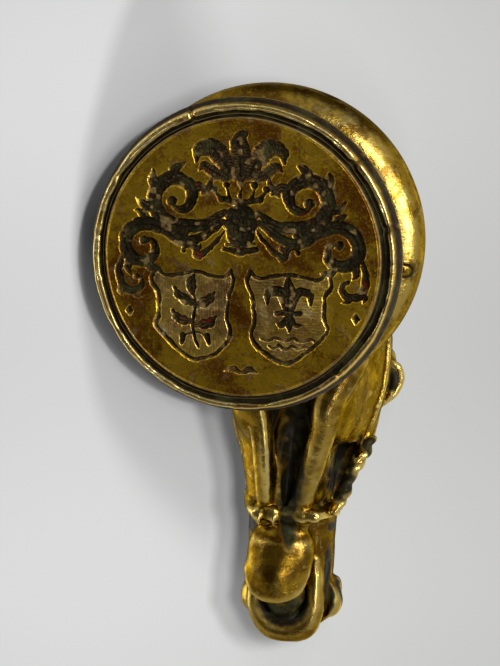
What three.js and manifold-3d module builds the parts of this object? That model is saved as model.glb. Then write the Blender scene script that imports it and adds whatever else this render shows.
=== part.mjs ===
// A brass desk seal: an engraved round plate on a turned base, with a cast horse's head for a handle.
// Millimetres, +Z up. The origin is the centre of the sealing face, which looks down.
// The horse looks towards -Y, and its left side is towards +X.

import * as THREE from 'three';
import { mergeVertices } from 'three/addons/utils/BufferGeometryUtils.js';
import Module from 'manifold-3d';

const wasm = await Module();
wasm.setup();

// Matrix plate
const faceRadius = 14.4;          // outer edge of the rim around the sealing face
const rimWidth = 0.45;            // flat crest of the rim
const borderWidth = 0.85;         // dark groove between the rim and the engraved field
const borderDepth = 0.6;
const borderRidgeDepth = 0.25;    // low ridge along the middle of the groove
const plateEdgeRadius = 15.0;     // the plate's side flares out to this
const plateThickness = 2.0;
const plateEdgeBand = 0.35;       // upright band at the widest part of the side
const chamferHeight = 0.5;        // first, steeper part of the side
const spigotRadius = 6.0;         // round spigot on the plate's back
const spigotHeight = 3.0;
const engravingDepth = 0.55;      // helmet, crest and scrolls
const shieldDepth = 0.2;          // floor of the shields
const chargeDepth = 0.65;         // figures on the shields
const cutOverrun = 0.5;           // how far a cutting solid passes the surface it cuts

// Turned base
const waistSeatRadius = 12.6;     // flat that lies on the plate's back
const waistRadius = 11.9;         // bottom of the hollow under the collar
const waistHeight = 5.6;          // from the plate to the narrowest part
const collarRadius = 15.87;
const collarTubeRadius = 3.0;     // half the thickness of the collar
const collarHeight = 12.6;        // from the plate to the collar's widest part
const collarFoot = 0.75;          // the hollow meets the collar this far under it
const shoulderRadius = 10.3;      // hollow between the collar and the neck's bead
const beadRadius = 10.6;
const beadTubeRadius = 0.75;
const baseHeight = 17.0;          // from the plate to the flat under the neck

// Fit of the pieces
const tangRadius = 3.0;
const fitClearance = 0.15;        // all round the spigot, the tang and the pin
const endClearance = 0.4;         // at the blind end of each hole
const plateHoleDepth = 3.4;       // blind hole for the tang in the plate's spigot
const neckHoleDepth = 14.0;       // blind hole for the tang in the neck
const tangChamfer = 0.5;
const pinRadius = 0.55;
const pinSink = 0.15;             // how far the pin's filed end lies under the collar's skin
const pinAngle = THREE.MathUtils.degToRad(190);
const pinAboveCollar = -2.6;      // the pin's height against the collar's widest part

// Horse's head
const headLength = 54.0;          // from the poll to the front teeth
const pollBack = 3.0;             // the poll lies this far behind the seal's axis
const pollHeight = 29.0;          // from the flat under the neck to the poll
const neckFootRadius = 9.4;
const earLength = 7.0;
const earRadius = 1.9;
const maneRadius = 1.9;
const lockRadius = 1.15;
const strapRadius = 0.95;         // half the width of a cheek strap
const cordRadius = 0.8;           // twisted part of the bridle
const mouthGap = 1.5;

// How fine the round shapes are
const turnedSides = 64;
const tangSides = 32;
const pinSides = 16;
const collarSteps = 12;
const beadSteps = 5;
const engravedSteps = 12;
const ringSides = 16;
const neckSides = 20;
const barSides = 6;
const barSteps = 2;
const ballSides = 12;

// Heights that follow from the sizes above
const plateBack = plateThickness;
const spigotTop = plateBack + spigotHeight;
const baseTop = plateBack + baseHeight;
const collarZ = plateBack + collarHeight;
const fieldRadius = faceRadius - rimWidth - borderWidth;


// Solids

function toSolid(geometry) {
  const bare = geometry.clone();
  bare.deleteAttribute('normal');
  bare.deleteAttribute('uv');
  const merged = mergeVertices(bare);
  const index = merged.index.array;
  const triangles = [];
  for (let i = 0; i < index.length; i += 3) {
    const [a, b, c] = [index[i], index[i + 1], index[i + 2]];
    if (a !== b && b !== c && c !== a) triangles.push(a, b, c);
  }
  return new wasm.Manifold(new wasm.Mesh({
    numProp: 3,
    vertProperties: new Float32Array(merged.attributes.position.array),
    triVerts: new Uint32Array(triangles),
  }));
}

function toGeometry(solid) {
  const mesh = solid.getMesh();
  const geometry = new THREE.BufferGeometry();
  geometry.setAttribute('position', new THREE.BufferAttribute(new Float32Array(mesh.vertProperties), 3));
  geometry.setIndex(new THREE.BufferAttribute(new Uint32Array(mesh.triVerts), 1));
  geometry.computeVertexNormals();
  return geometry;
}

function joined(solids) {
  return solids.reduce((all, solid) => all.add(solid));
}

// A turned solid from an outline of [radius, height] points, its axis along +Z
function turned(outline, sides = turnedSides) {
  const points = outline.map(([radius, height]) => new THREE.Vector2(radius, height));
  return new THREE.LatheGeometry(points, sides).rotateX(Math.PI / 2);
}

function rod(radius, from, to, sides) {
  return turned([[0, from], [radius, from], [radius, to], [0, to]], sides);
}

// The points of an arc in an outline, without its first point
function arcPoints(radius, height, tube, fromAngle, toAngle, steps) {
  const points = [];
  for (let i = 1; i <= steps; i++) {
    const angle = fromAngle + (toAngle - fromAngle) * i / steps;
    points.push([radius + tube * Math.cos(angle), height + tube * Math.sin(angle)]);
  }
  return points;
}

// A smooth value at u from a table of [u, value] rows
function along(table, u) {
  let i = 0;
  while (i < table.length - 2 && u > table[i + 1][0]) i++;
  const slope = (k) => {
    const a = table[Math.max(k - 1, 0)];
    const b = table[Math.min(k + 1, table.length - 1)];
    return (b[1] - a[1]) / (b[0] - a[0]);
  };
  const [u0, v0] = table[i];
  const [u1, v1] = table[i + 1];
  const span = u1 - u0;
  const t = THREE.MathUtils.clamp((u - u0) / span, 0, 1);
  const rise = (1 + 2 * t) * (1 - t) ** 2 * v0 + t * t * (3 - 2 * t) * v1;
  return rise + span * (t * (1 - t) ** 2 * slope(i) - t * t * (1 - t) * slope(i + 1));
}

// A closed skin over rings of points, each ring with as many points as the others
function skin(rings, closed = false) {
  const sides = rings[0].length;
  const positions = rings.flat().flatMap((point) => point.toArray());
  const faces = [];
  const last = closed ? rings.length : rings.length - 1;
  for (let i = 0; i < last; i++) {
    const next = (i + 1) % rings.length;
    for (let k = 0; k < sides; k++) {
      const a = i * sides + k;
      const b = i * sides + (k + 1) % sides;
      const c = next * sides + (k + 1) % sides;
      const d = next * sides + k;
      faces.push(a, b, c, a, c, d);
    }
  }
  if (!closed) {
    for (const [ring, way] of [[0, 1], [rings.length - 1, -1]]) {
      const middle = new THREE.Vector3();
      rings[ring].forEach((point) => middle.add(point));
      const centre = positions.length / 3;
      positions.push(...middle.divideScalar(sides).toArray());
      for (let k = 0; k < sides; k++) {
        const a = ring * sides + k;
        const b = ring * sides + (k + 1) % sides;
        faces.push(...(way > 0 ? [centre, b, a] : [centre, a, b]));
      }
    }
  }
  const geometry = new THREE.BufferGeometry();
  geometry.setAttribute('position', new THREE.Float32BufferAttribute(positions, 3));
  geometry.setIndex(faces);
  return geometry;
}

// A round bar through points, with a radius at each point
function bar(points, radii, closed = false) {
  const curve = new THREE.CatmullRomCurve3(points, closed, 'centripetal');
  const count = (closed ? points.length : points.length - 1) * barSteps;
  const frames = curve.computeFrenetFrames(count, closed);
  const rings = [];
  for (let i = 0; i < count + (closed ? 0 : 1); i++) {
    const place = i / barSteps;
    const k = Math.min(Math.floor(place), radii.length - 1);
    const next = closed ? (k + 1) % radii.length : Math.min(k + 1, radii.length - 1);
    const radius = radii[k] + (radii[next] - radii[k]) * (place - k);
    const centre = curve.getPoint(i / count);
    const ring = [];
    for (let s = 0; s < barSides; s++) {
      const angle = 2 * Math.PI * s / barSides;
      ring.push(centre.clone()
        .addScaledVector(frames.normals[i], radius * Math.cos(angle))
        .addScaledVector(frames.binormals[i], radius * Math.sin(angle)));
    }
    rings.push(ring);
  }
  return toSolid(skin(rings, closed));
}

function ellipsoid(centre, radii) {
  const ball = new THREE.SphereGeometry(1, ballSides, ballSides / 2 + 1);
  return toSolid(ball.scale(radii.x, radii.y, radii.z).translate(centre.x, centre.y, centre.z));
}

// The same solid on the other side of the middle plane
function bothSides(make) {
  return make(1).add(make(-1));
}


// Matrix plate: a flat engraved field, a grooved border, a flared side and a spigot

// Places on the face are shares of the field's radius: first towards the viewer's right, then up
function onFace(share) {
  return new THREE.Vector2(-share[0] * fieldRadius, share[1] * fieldRadius);
}

function engraved(outlineShares, depth) {
  const points = outlineShares.map(onFace);
  if (THREE.ShapeUtils.isClockWise(points)) points.reverse();
  const cut = new THREE.ExtrudeGeometry(new THREE.Shape(points), {
    depth: depth + cutOverrun,
    bevelEnabled: false,
    steps: 1,
  });
  return toSolid(cut.translate(0, 0, -cutOverrun));
}

function mirrored(outlineShares) {
  return outlineShares.map(([across, up]) => [-across, up]);
}

// A band that tapers towards both ends, along an arc on the face
const crescentStartShare = 0.08;
const crescentEndShare = 0.96;

function crescent({ centre, radius, width, from, to }) {
  const outer = [];
  const inner = [];
  for (let i = 0; i <= engravedSteps; i++) {
    const place = i / engravedSteps;
    const angle = THREE.MathUtils.degToRad(from + (to - from) * place);
    const taper = crescentStartShare + (crescentEndShare - crescentStartShare) * place;
    const half = width * Math.sin(Math.PI * taper);
    const way = [Math.cos(angle), Math.sin(angle)];
    outer.push([centre[0] + (radius + half) * way[0], centre[1] + (radius + half) * way[1]]);
    inner.push([centre[0] + (radius - half) * way[0], centre[1] + (radius - half) * way[1]]);
  }
  return [...outer, ...inner.reverse()];
}

const shieldShares = [
  [0.07, -0.08], [0.13, -0.13], [0.34, -0.1], [0.55, -0.13], [0.62, -0.08], [0.66, -0.17],
  [0.61, -0.26], [0.61, -0.42], [0.63, -0.5], [0.52, -0.62], [0.35, -0.74], [0.18, -0.68],
  [0.08, -0.56], [0.1, -0.44], [0.09, -0.28], [0.05, -0.16],
];
const stemShares = [
  [-0.33, -0.66], [-0.36, -0.52], [-0.345, -0.36], [-0.355, -0.22], [-0.345, -0.22], [-0.33, -0.36],
  [-0.345, -0.52], [-0.315, -0.66],
];
const leafShares = [
  { centre: [-0.42, -0.2], radius: 0.07, width: 0.03, from: -10, to: 75 },
  { centre: [-0.46, -0.24], radius: 0.12, width: 0.035, from: -55, to: -150 },
  { centre: [-0.24, -0.22], radius: 0.12, width: 0.035, from: -135, to: -40 },
  { centre: [-0.46, -0.36], radius: 0.12, width: 0.035, from: -55, to: -150 },
  { centre: [-0.24, -0.36], radius: 0.12, width: 0.035, from: -135, to: -40 },
  { centre: [-0.42, -0.56], radius: 0.09, width: 0.03, from: 30, to: -40 },
  { centre: [-0.27, -0.56], radius: 0.09, width: 0.03, from: 150, to: 220 },
];
const lilyShares = [
  [0.35, -0.15], [0.4, -0.24], [0.37, -0.36], [0.43, -0.38], [0.43, -0.42], [0.37, -0.43], [0.35, -0.58],
  [0.33, -0.43], [0.27, -0.42], [0.27, -0.38], [0.33, -0.36], [0.3, -0.24],
];
const petalShares = [
  { centre: [0.46, -0.3], radius: 0.07, width: 0.032, from: 205, to: -10 },
  { centre: [0.24, -0.3], radius: 0.07, width: 0.032, from: -25, to: 190 },
  { centre: [0.43, -0.42], radius: 0.06, width: 0.02, from: 150, to: 270 },
  { centre: [0.27, -0.42], radius: 0.06, width: 0.02, from: 30, to: -90 },
];
const helmetShares = [
  [-0.12, 0.16], [-0.15, 0.28], [-0.11, 0.37], [0, 0.4], [0.11, 0.37], [0.15, 0.28], [0.12, 0.16],
  [0.07, 0.1], [0.1, 0.06], [-0.1, 0.06], [-0.07, 0.1],
];
const coronetShares = [
  [-0.14, 0.43], [-0.19, 0.54], [-0.12, 0.49], [-0.08, 0.56], [-0.04, 0.5], [0, 0.58],
  [0.04, 0.5], [0.08, 0.56], [0.12, 0.49], [0.19, 0.54], [0.14, 0.43],
];
const plumeShares = [
  [-0.04, 0.6], [-0.08, 0.7], [-0.06, 0.82], [0, 0.9], [0.06, 0.82], [0.08, 0.7], [0.04, 0.6],
];
const sidePlumeShares = { centre: [0.22, 0.64], radius: 0.14, width: 0.05, from: 195, to: 20 };
const scrollShares = [
  { centre: [0.46, 0.43], radius: 0.165, width: 0.05, from: 235, to: -60 },
  { centre: [0.44, 0.43], radius: 0.07, width: 0.035, from: -50, to: 170 },
  { centre: [0.71, 0.08], radius: 0.15, width: 0.05, from: 150, to: -130 },
  { centre: [0.69, 0.08], radius: 0.055, width: 0.03, from: -110, to: 100 },
  { centre: [0.79, -0.17], radius: 0.1, width: 0.028, from: 40, to: -200 },
  { centre: [0.31, 0.22], radius: 0.15, width: 0.035, from: 190, to: 340 },
];

function platePlain() {
  const groove = fieldRadius + borderWidth / 2;
  const outline = [
    [0, 0],
    [fieldRadius, 0],
    [fieldRadius + borderWidth / 4, borderDepth],
    [groove, borderRidgeDepth],
    [faceRadius - rimWidth - borderWidth / 4, borderDepth],
    [faceRadius - rimWidth, 0],
    [faceRadius, 0],
    [(faceRadius + plateEdgeRadius) / 2, chamferHeight],
    [plateEdgeRadius, plateBack - plateEdgeBand],
    [plateEdgeRadius, plateBack],
    [spigotRadius, plateBack],
    [spigotRadius, spigotTop],
    [tangRadius + fitClearance, spigotTop],
    [tangRadius + fitClearance, spigotTop - plateHoleDepth],
    [0, spigotTop - plateHoleDepth],
  ];
  return toSolid(turned(outline));
}

function matrixPlate() {
  const cuts = [
    engraved(shieldShares, shieldDepth),
    engraved(mirrored(shieldShares), shieldDepth),
    engraved(stemShares, chargeDepth),
    engraved(lilyShares, chargeDepth),
    ...[...leafShares, ...petalShares].map((shares) => engraved(crescent(shares), chargeDepth)),
    engraved(helmetShares, engravingDepth),
    engraved(coronetShares, engravingDepth),
    engraved(plumeShares, engravingDepth),
  ];
  for (const shares of [sidePlumeShares, ...scrollShares]) {
    cuts.push(engraved(crescent(shares), engravingDepth));
    cuts.push(engraved(mirrored(crescent(shares)), engravingDepth));
  }
  return toGeometry(platePlain().subtract(joined(cuts)));
}


// Turned base: a hollow waist, a thick rolled collar, and a beaded shoulder under the neck

function pinTurned(radius, from, to) {
  const pin = rod(radius, from, to, pinSides).rotateY(Math.PI / 2).rotateZ(pinAngle);
  return pin.translate(0, 0, collarZ + pinAboveCollar);
}

function turnedBase() {
  const collarCentre = collarRadius - collarTubeRadius;
  const beadCentre = beadRadius - beadTubeRadius;
  const beadZ = baseTop - beadTubeRadius;
  const bore = tangRadius + fitClearance;
  const counterbore = spigotRadius + fitClearance;
  const outline = [
    [counterbore, plateBack],
    [waistSeatRadius, plateBack],
    [waistSeatRadius, plateBack + beadTubeRadius],
    [(waistSeatRadius + 2 * waistRadius) / 3, plateBack + waistHeight / 2],
    [waistRadius, plateBack + waistHeight],
    [(2 * waistRadius + collarCentre) / 3, collarZ - collarTubeRadius - collarFoot],
    [collarCentre, collarZ - collarTubeRadius],
    ...arcPoints(collarCentre, collarZ, collarTubeRadius, -Math.PI / 2, Math.PI / 2, collarSteps),
    [shoulderRadius, beadZ - beadTubeRadius],
    ...arcPoints(beadCentre, beadZ, beadTubeRadius, -Math.PI / 2, Math.PI / 2, beadSteps),
    [bore, baseTop],
    [bore, spigotTop + endClearance],
    [counterbore, spigotTop + endClearance],
    [counterbore, plateBack],
  ];
  const hole = toSolid(pinTurned(pinRadius + fitClearance, 0, collarRadius + cutOverrun));
  return toGeometry(toSolid(turned(outline)).subtract(hole));
}


// Horse's head. Along the head, u runs from 0 at the poll to 1 at the front teeth, and v is a
// height above the head's axis, which dips towards the muzzle. All are shares of its length.
// The cast head also bends a little to its own left.

const dipShare = 0.07;
const bendShare = 0.026;

function onHead([u, across, v], side = 1) {
  return new THREE.Vector3(
    (side * across + u * u * bendShare) * headLength,
    pollBack - u * headLength,
    baseTop + pollHeight + (v - u * dipShare) * headLength,
  );
}

function headBar(pointShares, radii, side = 1, closed = false) {
  return bar(pointShares.map((share) => onHead(share, side)), radii, closed);
}

const topShares = [
  [0, -0.03], [0.08, 0.0], [0.18, 0.014], [0.32, 0.016], [0.45, 0.0], [0.6, -0.036], [0.75, -0.064],
  [0.86, -0.08], [0.93, -0.092], [0.975, -0.12], [1.005, -0.15], [1.02, -0.175],
];
const middleShares = [
  [0, -0.14], [0.18, -0.13], [0.32, -0.12], [0.45, -0.13], [0.6, -0.15], [0.75, -0.16],
  [0.86, -0.165], [0.93, -0.17], [1.02, -0.19],
];
const bottomShares = [
  [0, -0.3], [0.2, -0.34], [0.4, -0.3], [0.6, -0.28], [0.74, -0.25], [0.84, -0.235], [0.93, -0.225],
  [0.98, -0.225], [1.005, -0.22], [1.02, -0.205],
];
const widthShares = [
  [0, 0.09], [0.1, 0.135], [0.2, 0.158], [0.32, 0.178], [0.42, 0.178], [0.5, 0.16], [0.6, 0.129],
  [0.7, 0.102], [0.78, 0.097], [0.86, 0.096], [0.91, 0.094], [0.955, 0.084], [0.99, 0.068], [1.02, 0.04],
];
const leanShares = [[0, 0], [0.55, 0], [0.7, 0.012], [0.86, 0.01], [1.02, 0.004]];
const headStations = [0, 0.05, 0.11, 0.18, 0.26, 0.34, 0.42, 0.5, 0.58, 0.66, 0.74, 0.81, 0.87, 0.92,
  0.96, 0.985, 1.005, 1.02];
const topFullness = 2.3;
const bottomFullness = 2.6;

// The head's section at u, as a ring around its widest height
function headRing(u) {
  const ring = [];
  const width = along(widthShares, u);
  const middle = along(middleShares, u);
  for (let k = 0; k < ringSides; k++) {
    const angle = 2 * Math.PI * k / ringSides;
    const [c, s] = [Math.cos(angle), Math.sin(angle)];
    const power = 2 / (s > 0 ? topFullness : bottomFullness);
    const reach = s > 0 ? along(topShares, u) - middle : middle - along(bottomShares, u);
    const across = along(leanShares, u) + width * Math.sign(c) * Math.abs(c) ** power;
    const v = middle + reach * Math.sign(s) * Math.abs(s) ** power;
    ring.push(onHead([u, across, v]));
  }
  return ring;
}

function skull() {
  return toSolid(skin(headStations.map(headRing)));
}

const cheekShares = { centre: [0.39, 0.09, -0.22], radii: [0.064, 0.16, 0.185] };
const leftJawShares = [
  [0.22, 0.09, -0.27], [0.33, 0.118, -0.365], [0.42, 0.072, -0.368], [0.5, 0.058, -0.348],
  [0.58, 0.054, -0.325], [0.65, 0.052, -0.298], [0.72, 0.05, -0.275],
];
const leftJawRadiusShares = [0.022, 0.04, 0.03, 0.025, 0.023, 0.022, 0.016];
const rightJawShares = [
  [0.22, 0.095, -0.27], [0.33, 0.125, -0.365], [0.42, 0.088, -0.378], [0.49, 0.075, -0.36],
  [0.57, 0.053, -0.33], [0.65, 0.032, -0.3], [0.72, 0.026, -0.275],
];
const rightJawRadiusShares = [0.022, 0.042, 0.032, 0.028, 0.026, 0.024, 0.016];
const jawWebShares = { centre: [0.59, 0.004, -0.272], radii: [0.078, 0.15, 0.058] };
const jawGrooveShares = [
  [0.4, -0.01, -0.35], [0.48, -0.012, -0.338], [0.58, 0, -0.312], [0.67, 0.008, -0.29],
];
const jawGrooveRadiusShares = [0.034, 0.03, 0.02, 0.01];
const chinShares = { centre: [0.785, 0.018, -0.256], radii: [0.07, 0.068, 0.058] };
const lowerLipShares = { centre: [0.834, 0.026, -0.258], radii: [0.06, 0.07, 0.058] };
const eyeShares = { centre: [0.44, 0.164, -0.078], radii: [0.042, 0.052, 0.036] };
const browShares = [[0.35, 0.13, -0.03], [0.4, 0.16, -0.026], [0.46, 0.17, -0.042], [0.51, 0.142, -0.075]];
const browRadiusShares = [0.012, 0.026, 0.022, 0.01];
const leftHollowShares = { centre: [0.62, 0.1, -0.255], radii: [0.014, 0.075, 0.06] };
const rightHollowShares = { centre: [0.62, 0.1, -0.255], radii: [0.027, 0.085, 0.07] };
const cheekboneShares = [[0.46, 0.152, -0.125], [0.54, 0.14, -0.145], [0.64, 0.112, -0.155]];
const cheekboneRadiusShares = [0.02, 0.022, 0.012];
const nostrilShares = { centre: [0.918, 0.07, -0.15], radii: [0.046, 0.044, 0.05] };
const nostrilHoleShares = { centre: [0.914, 0.114, -0.138], radii: [0.021, 0.026, 0.019] };
const mouthShares = [0.8, -0.236, 1.15, -0.262];
const palateShares = { centre: [0.915, 0.013, -0.226], radii: [0.06, 0.058, 0.04] };
const lipShares = [
  [0.81, -0.056, -0.23], [0.86, -0.06, -0.222], [0.93, -0.058, -0.214], [0.975, -0.036, -0.208],
  [0.992, 0.01, -0.206], [0.975, 0.058, -0.208], [0.93, 0.082, -0.214], [0.86, 0.086, -0.222],
];
const lipRadiusShares = [0.004, 0.01, 0.013, 0.016, 0.018, 0.016, 0.013, 0.004];

function ofHead(shares, side) {
  const [across, alongHead, up] = shares.radii;
  const radii = new THREE.Vector3(across, alongHead, up).multiplyScalar(headLength);
  return ellipsoid(onHead(shares.centre, side), radii);
}

function lengths(shares) {
  return shares.map((share) => share * headLength);
}

function mouth() {
  const [u0, v0, u1, v1] = mouthShares;
  const half = mouthGap / 2;
  const corner = onHead([u0, 0, v0]);
  const end = onHead([u1, 0, v1]);
  const outline = new THREE.Shape([
    new THREE.Vector2(corner.y, corner.z - half / 2),
    new THREE.Vector2(corner.y, corner.z + half / 2),
    new THREE.Vector2(end.y, end.z + half),
    new THREE.Vector2(end.y, end.z - half),
  ].reverse());
  const width = 2 * neckFootRadius;
  const slot = new THREE.ExtrudeGeometry(outline, { depth: width, bevelEnabled: false, steps: 1 });
  slot.translate(0, 0, -width / 2).rotateY(Math.PI / 2).rotateX(Math.PI / 2);
  return toSolid(slot);
}

// Neck, from the flat on the base up into the head; t runs from its foot to the poll
const neckFrontShares = [[0, -1], [0.15, -1.02], [0.3, -1.1], [0.5, -0.9], [0.75, -0.4], [0.93, 0.0]];
const neckBackShares = [[0, 1], [0.15, 1.06], [0.4, 1.28], [0.6, 1.28], [0.8, 1.02], [0.93, 0.64]];
const neckWidthShares = [[0, 1], [0.15, 0.92], [0.4, 0.82], [0.7, 0.72], [0.93, 0.5]];
const neckStations = [0, 0.07, 0.15, 0.26, 0.38, 0.5, 0.62, 0.74, 0.84, 0.93];

function neck() {
  const rings = neckStations.map((t) => {
    const front = along(neckFrontShares, t) * neckFootRadius;
    const back = along(neckBackShares, t) * neckFootRadius;
    const width = along(neckWidthShares, t) * neckFootRadius;
    const ring = [];
    for (let k = 0; k < neckSides; k++) {
      const angle = 2 * Math.PI * k / neckSides;
      const y = (front + back) / 2 + (back - front) / 2 * Math.sin(angle);
      ring.push(new THREE.Vector3(width * Math.cos(angle), y, baseTop + t * pollHeight));
    }
    return ring;
  });
  return toSolid(skin(rings));
}

// Mane: a ridge over the crest of the neck, and locks that fall from it on both sides
const maneShares = [0.97, 0.84, 0.7, 0.55, 0.4, 0.25, 0.1];
const maneRadiusShares = [0.7, 0.95, 1, 1, 1, 0.9, 0.6];
const lockCount = 5;
const lockStartShare = 0.9;
const lockStepShare = 0.165;
const lockFallShares = [0, 0.3, 0.55, 0.78];
const lockDropShares = [0, 0.06, 0.15, 0.23];
const lockRadiusShares = [0.8, 1, 0.9, 0.35];

function neckSurface(t, turn, side) {
  const front = along(neckFrontShares, t) * neckFootRadius;
  const back = along(neckBackShares, t) * neckFootRadius;
  const width = along(neckWidthShares, t) * neckFootRadius;
  const angle = Math.PI / 2 - turn * Math.PI / 2;
  const y = (front + back) / 2 + (back - front) / 2 * Math.sin(angle);
  return new THREE.Vector3(side * width * Math.cos(angle), y, baseTop + t * pollHeight);
}

function mane() {
  const crest = maneShares.map((t) => neckSurface(t, 0, 1));
  const solids = [bar(crest, maneRadiusShares.map((share) => share * maneRadius))];
  const radii = lockRadiusShares.map((share) => share * lockRadius);
  for (let i = 0; i < lockCount; i++) {
    const start = lockStartShare - i * lockStepShare;
    for (const side of [1, -1]) {
      const points = lockFallShares.map((turn, k) => {
        return neckSurface(Math.max(start - lockDropShares[k], lockDropShares[1]), turn, side);
      });
      solids.push(bar(points, radii));
    }
  }
  return joined(solids);
}

// Ears, laid back along the neck, and the forelock between them
const earRootShares = [0.035, 0.07, -0.01];
const earShares = [[0, 0, 0], [-0.3, 0.06, 0.1], [-0.7, 0.16, 0.22], [-1, 0.2, 0.24]];
const earRadiusShares = [1, 1.15, 0.75, 0.15];
const forelockShares = [[-0.02, 0, 0.0], [0.08, 0, 0.014], [0.18, 0.006, 0.022], [0.27, -0.01, 0.014]];
const forelockRadiusShares = [1, 1.1, 0.9, 0.3];

function ear(side) {
  const root = onHead(earRootShares, side);
  const points = earShares.map(([back, out, up]) => new THREE.Vector3(
    root.x + side * out * earLength,
    root.y - back * earLength,
    root.z + up * earLength,
  ));
  return bar(points, earRadiusShares.map((share) => share * earRadius));
}

// Bridle, cast in one with the head: cheek straps, browband, twisted cords and noseband
const leftStrapShares = [
  [0.13, 0.135, -0.06], [0.22, 0.158, -0.1], [0.32, 0.174, -0.125], [0.43, 0.17, -0.138],
  [0.54, 0.142, -0.15],
];
const rightStrapShares = [
  [0.13, 0.135, -0.06], [0.22, 0.158, -0.11], [0.32, 0.174, -0.145], [0.43, 0.174, -0.165],
  [0.54, 0.158, -0.185],
];
const leftCordShares = [
  [0.54, 0.142, -0.15], [0.57, 0.133, -0.158], [0.6, 0.122, -0.165], [0.65, 0.108, -0.18],
  [0.7, 0.1, -0.19],
];
const rightCordShares = [
  [0.54, 0.153, -0.19], [0.57, 0.142, -0.207], [0.604, 0.124, -0.225], [0.643, 0.11, -0.24],
  [0.695, 0.09, -0.25],
];
const browbandShares = [
  [0.14, -0.138, -0.07], [0.16, -0.1, -0.012], [0.17, 0, 0.012], [0.16, 0.1, -0.012], [0.14, 0.138, -0.07],
];
const nosebandShares = [
  [0.7, 0, -0.058], [0.7, 0.084, -0.085], [0.7, 0.112, -0.15], [0.7, 0.1, -0.225],
  [0.695, 0.068, -0.285], [0.695, 0, -0.296], [0.695, -0.05, -0.287], [0.7, -0.085, -0.225],
  [0.7, -0.092, -0.15], [0.7, -0.068, -0.085],
];
const bossShares = { centre: [0.14, 0.138, -0.07], radii: [0.024, 0.036, 0.036] };

function bridle() {
  const equal = (radius, shares) => shares.map(() => radius);
  return joined([
    headBar(nosebandShares, equal(cordRadius, nosebandShares), 1, true),
    headBar(browbandShares, equal(cordRadius, browbandShares)),
    headBar(leftStrapShares, equal(strapRadius, leftStrapShares)),
    headBar(rightStrapShares, equal(strapRadius, rightStrapShares), -1),
    headBar(leftCordShares, equal(cordRadius, leftCordShares)),
    headBar(rightCordShares, equal(cordRadius, rightCordShares), -1),
    bothSides((side) => ofHead(bossShares, side)),
  ]);
}

function horseHead() {
  const head = joined([
    skull(),
    ofHead(jawWebShares, 1),
    headBar(leftJawShares, lengths(leftJawRadiusShares)),
    headBar(rightJawShares, lengths(rightJawRadiusShares), -1),
    bothSides((side) => ofHead(cheekShares, side)),
    bothSides((side) => ofHead(eyeShares, side)),
    bothSides((side) => headBar(browShares, lengths(browRadiusShares), side)),
    bothSides((side) => headBar(cheekboneShares, lengths(cheekboneRadiusShares), side)),
    bothSides((side) => ofHead(nostrilShares, side)),
    ofHead(chinShares, 1),
    ofHead(lowerLipShares, 1),
  ]).subtract(joined([
    mouth(),
    ofHead(palateShares, 1),
    headBar(jawGrooveShares, lengths(jawGrooveRadiusShares)),
    ofHead(leftHollowShares, 1),
    ofHead(rightHollowShares, -1),
    bothSides((side) => ofHead(nostrilHoleShares, side)),
  ])).add(headBar(lipShares, lengths(lipRadiusShares)));
  const forelockRadii = forelockRadiusShares.map((share) => share * maneRadius);
  const forelock = headBar(forelockShares, forelockRadii);
  const handle = joined([head, neck(), mane(), bothSides(ear), bridle(), forelock]);
  const holeStart = baseTop - cutOverrun;
  const hole = toSolid(rod(tangRadius + fitClearance, holeStart, baseTop + neckHoleDepth, tangSides));
  return toGeometry(handle.subtract(hole));
}


// Tang: an iron stud from the plate's spigot through the base into the neck

function tangStud() {
  const foot = spigotTop - plateHoleDepth + endClearance;
  const head = baseTop + neckHoleDepth - endClearance;
  const stud = toSolid(turned([
    [0, foot],
    [tangRadius - tangChamfer, foot],
    [tangRadius, foot + tangChamfer],
    [tangRadius, head - tangChamfer],
    [tangRadius - tangChamfer, head],
    [0, head],
  ], tangSides));
  const hole = toSolid(pinTurned(pinRadius + fitClearance, 0, collarRadius));
  return toGeometry(stud.subtract(hole));
}

function lockPin() {
  const reach = Math.sqrt(collarTubeRadius ** 2 - pinAboveCollar ** 2);
  return pinTurned(pinRadius, tangRadius / 2, collarRadius - collarTubeRadius + reach - pinSink);
}


// Assembly

const brass = { color: 0x9c7a24, roughness: 0.38, metalness: 1.0 };
const engravedBrass = { color: 0x8d6a1c, roughness: 0.45, metalness: 1.0 };
const iron = { color: 0x4b4640, roughness: 0.6, metalness: 1.0 };

function named(name, geometry, finish) {
  const mesh = new THREE.Mesh(geometry, new THREE.MeshStandardMaterial(finish));
  mesh.name = name;
  return mesh;
}

const seal = new THREE.Group();
seal.name = 'seal';
seal.add(named('matrix_plate', matrixPlate(), engravedBrass));
seal.add(named('turned_base', turnedBase(), brass));
seal.add(named('horse_head_handle', horseHead(), brass));
seal.add(named('tang_stud', tangStud(), iron));
seal.add(named('lock_pin', lockPin(), brass));

export default seal;
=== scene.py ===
"""A brass desk seal with a horse-head handle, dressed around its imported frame.

The frame is in metres, with +Z up from the sealing face along the handle. The horse looks
towards -Y and its left side is +X. Shapes are worked out here in millimetres.
"""

import math

import bpy
import numpy as np
from mathutils import Matrix, Vector


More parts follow.
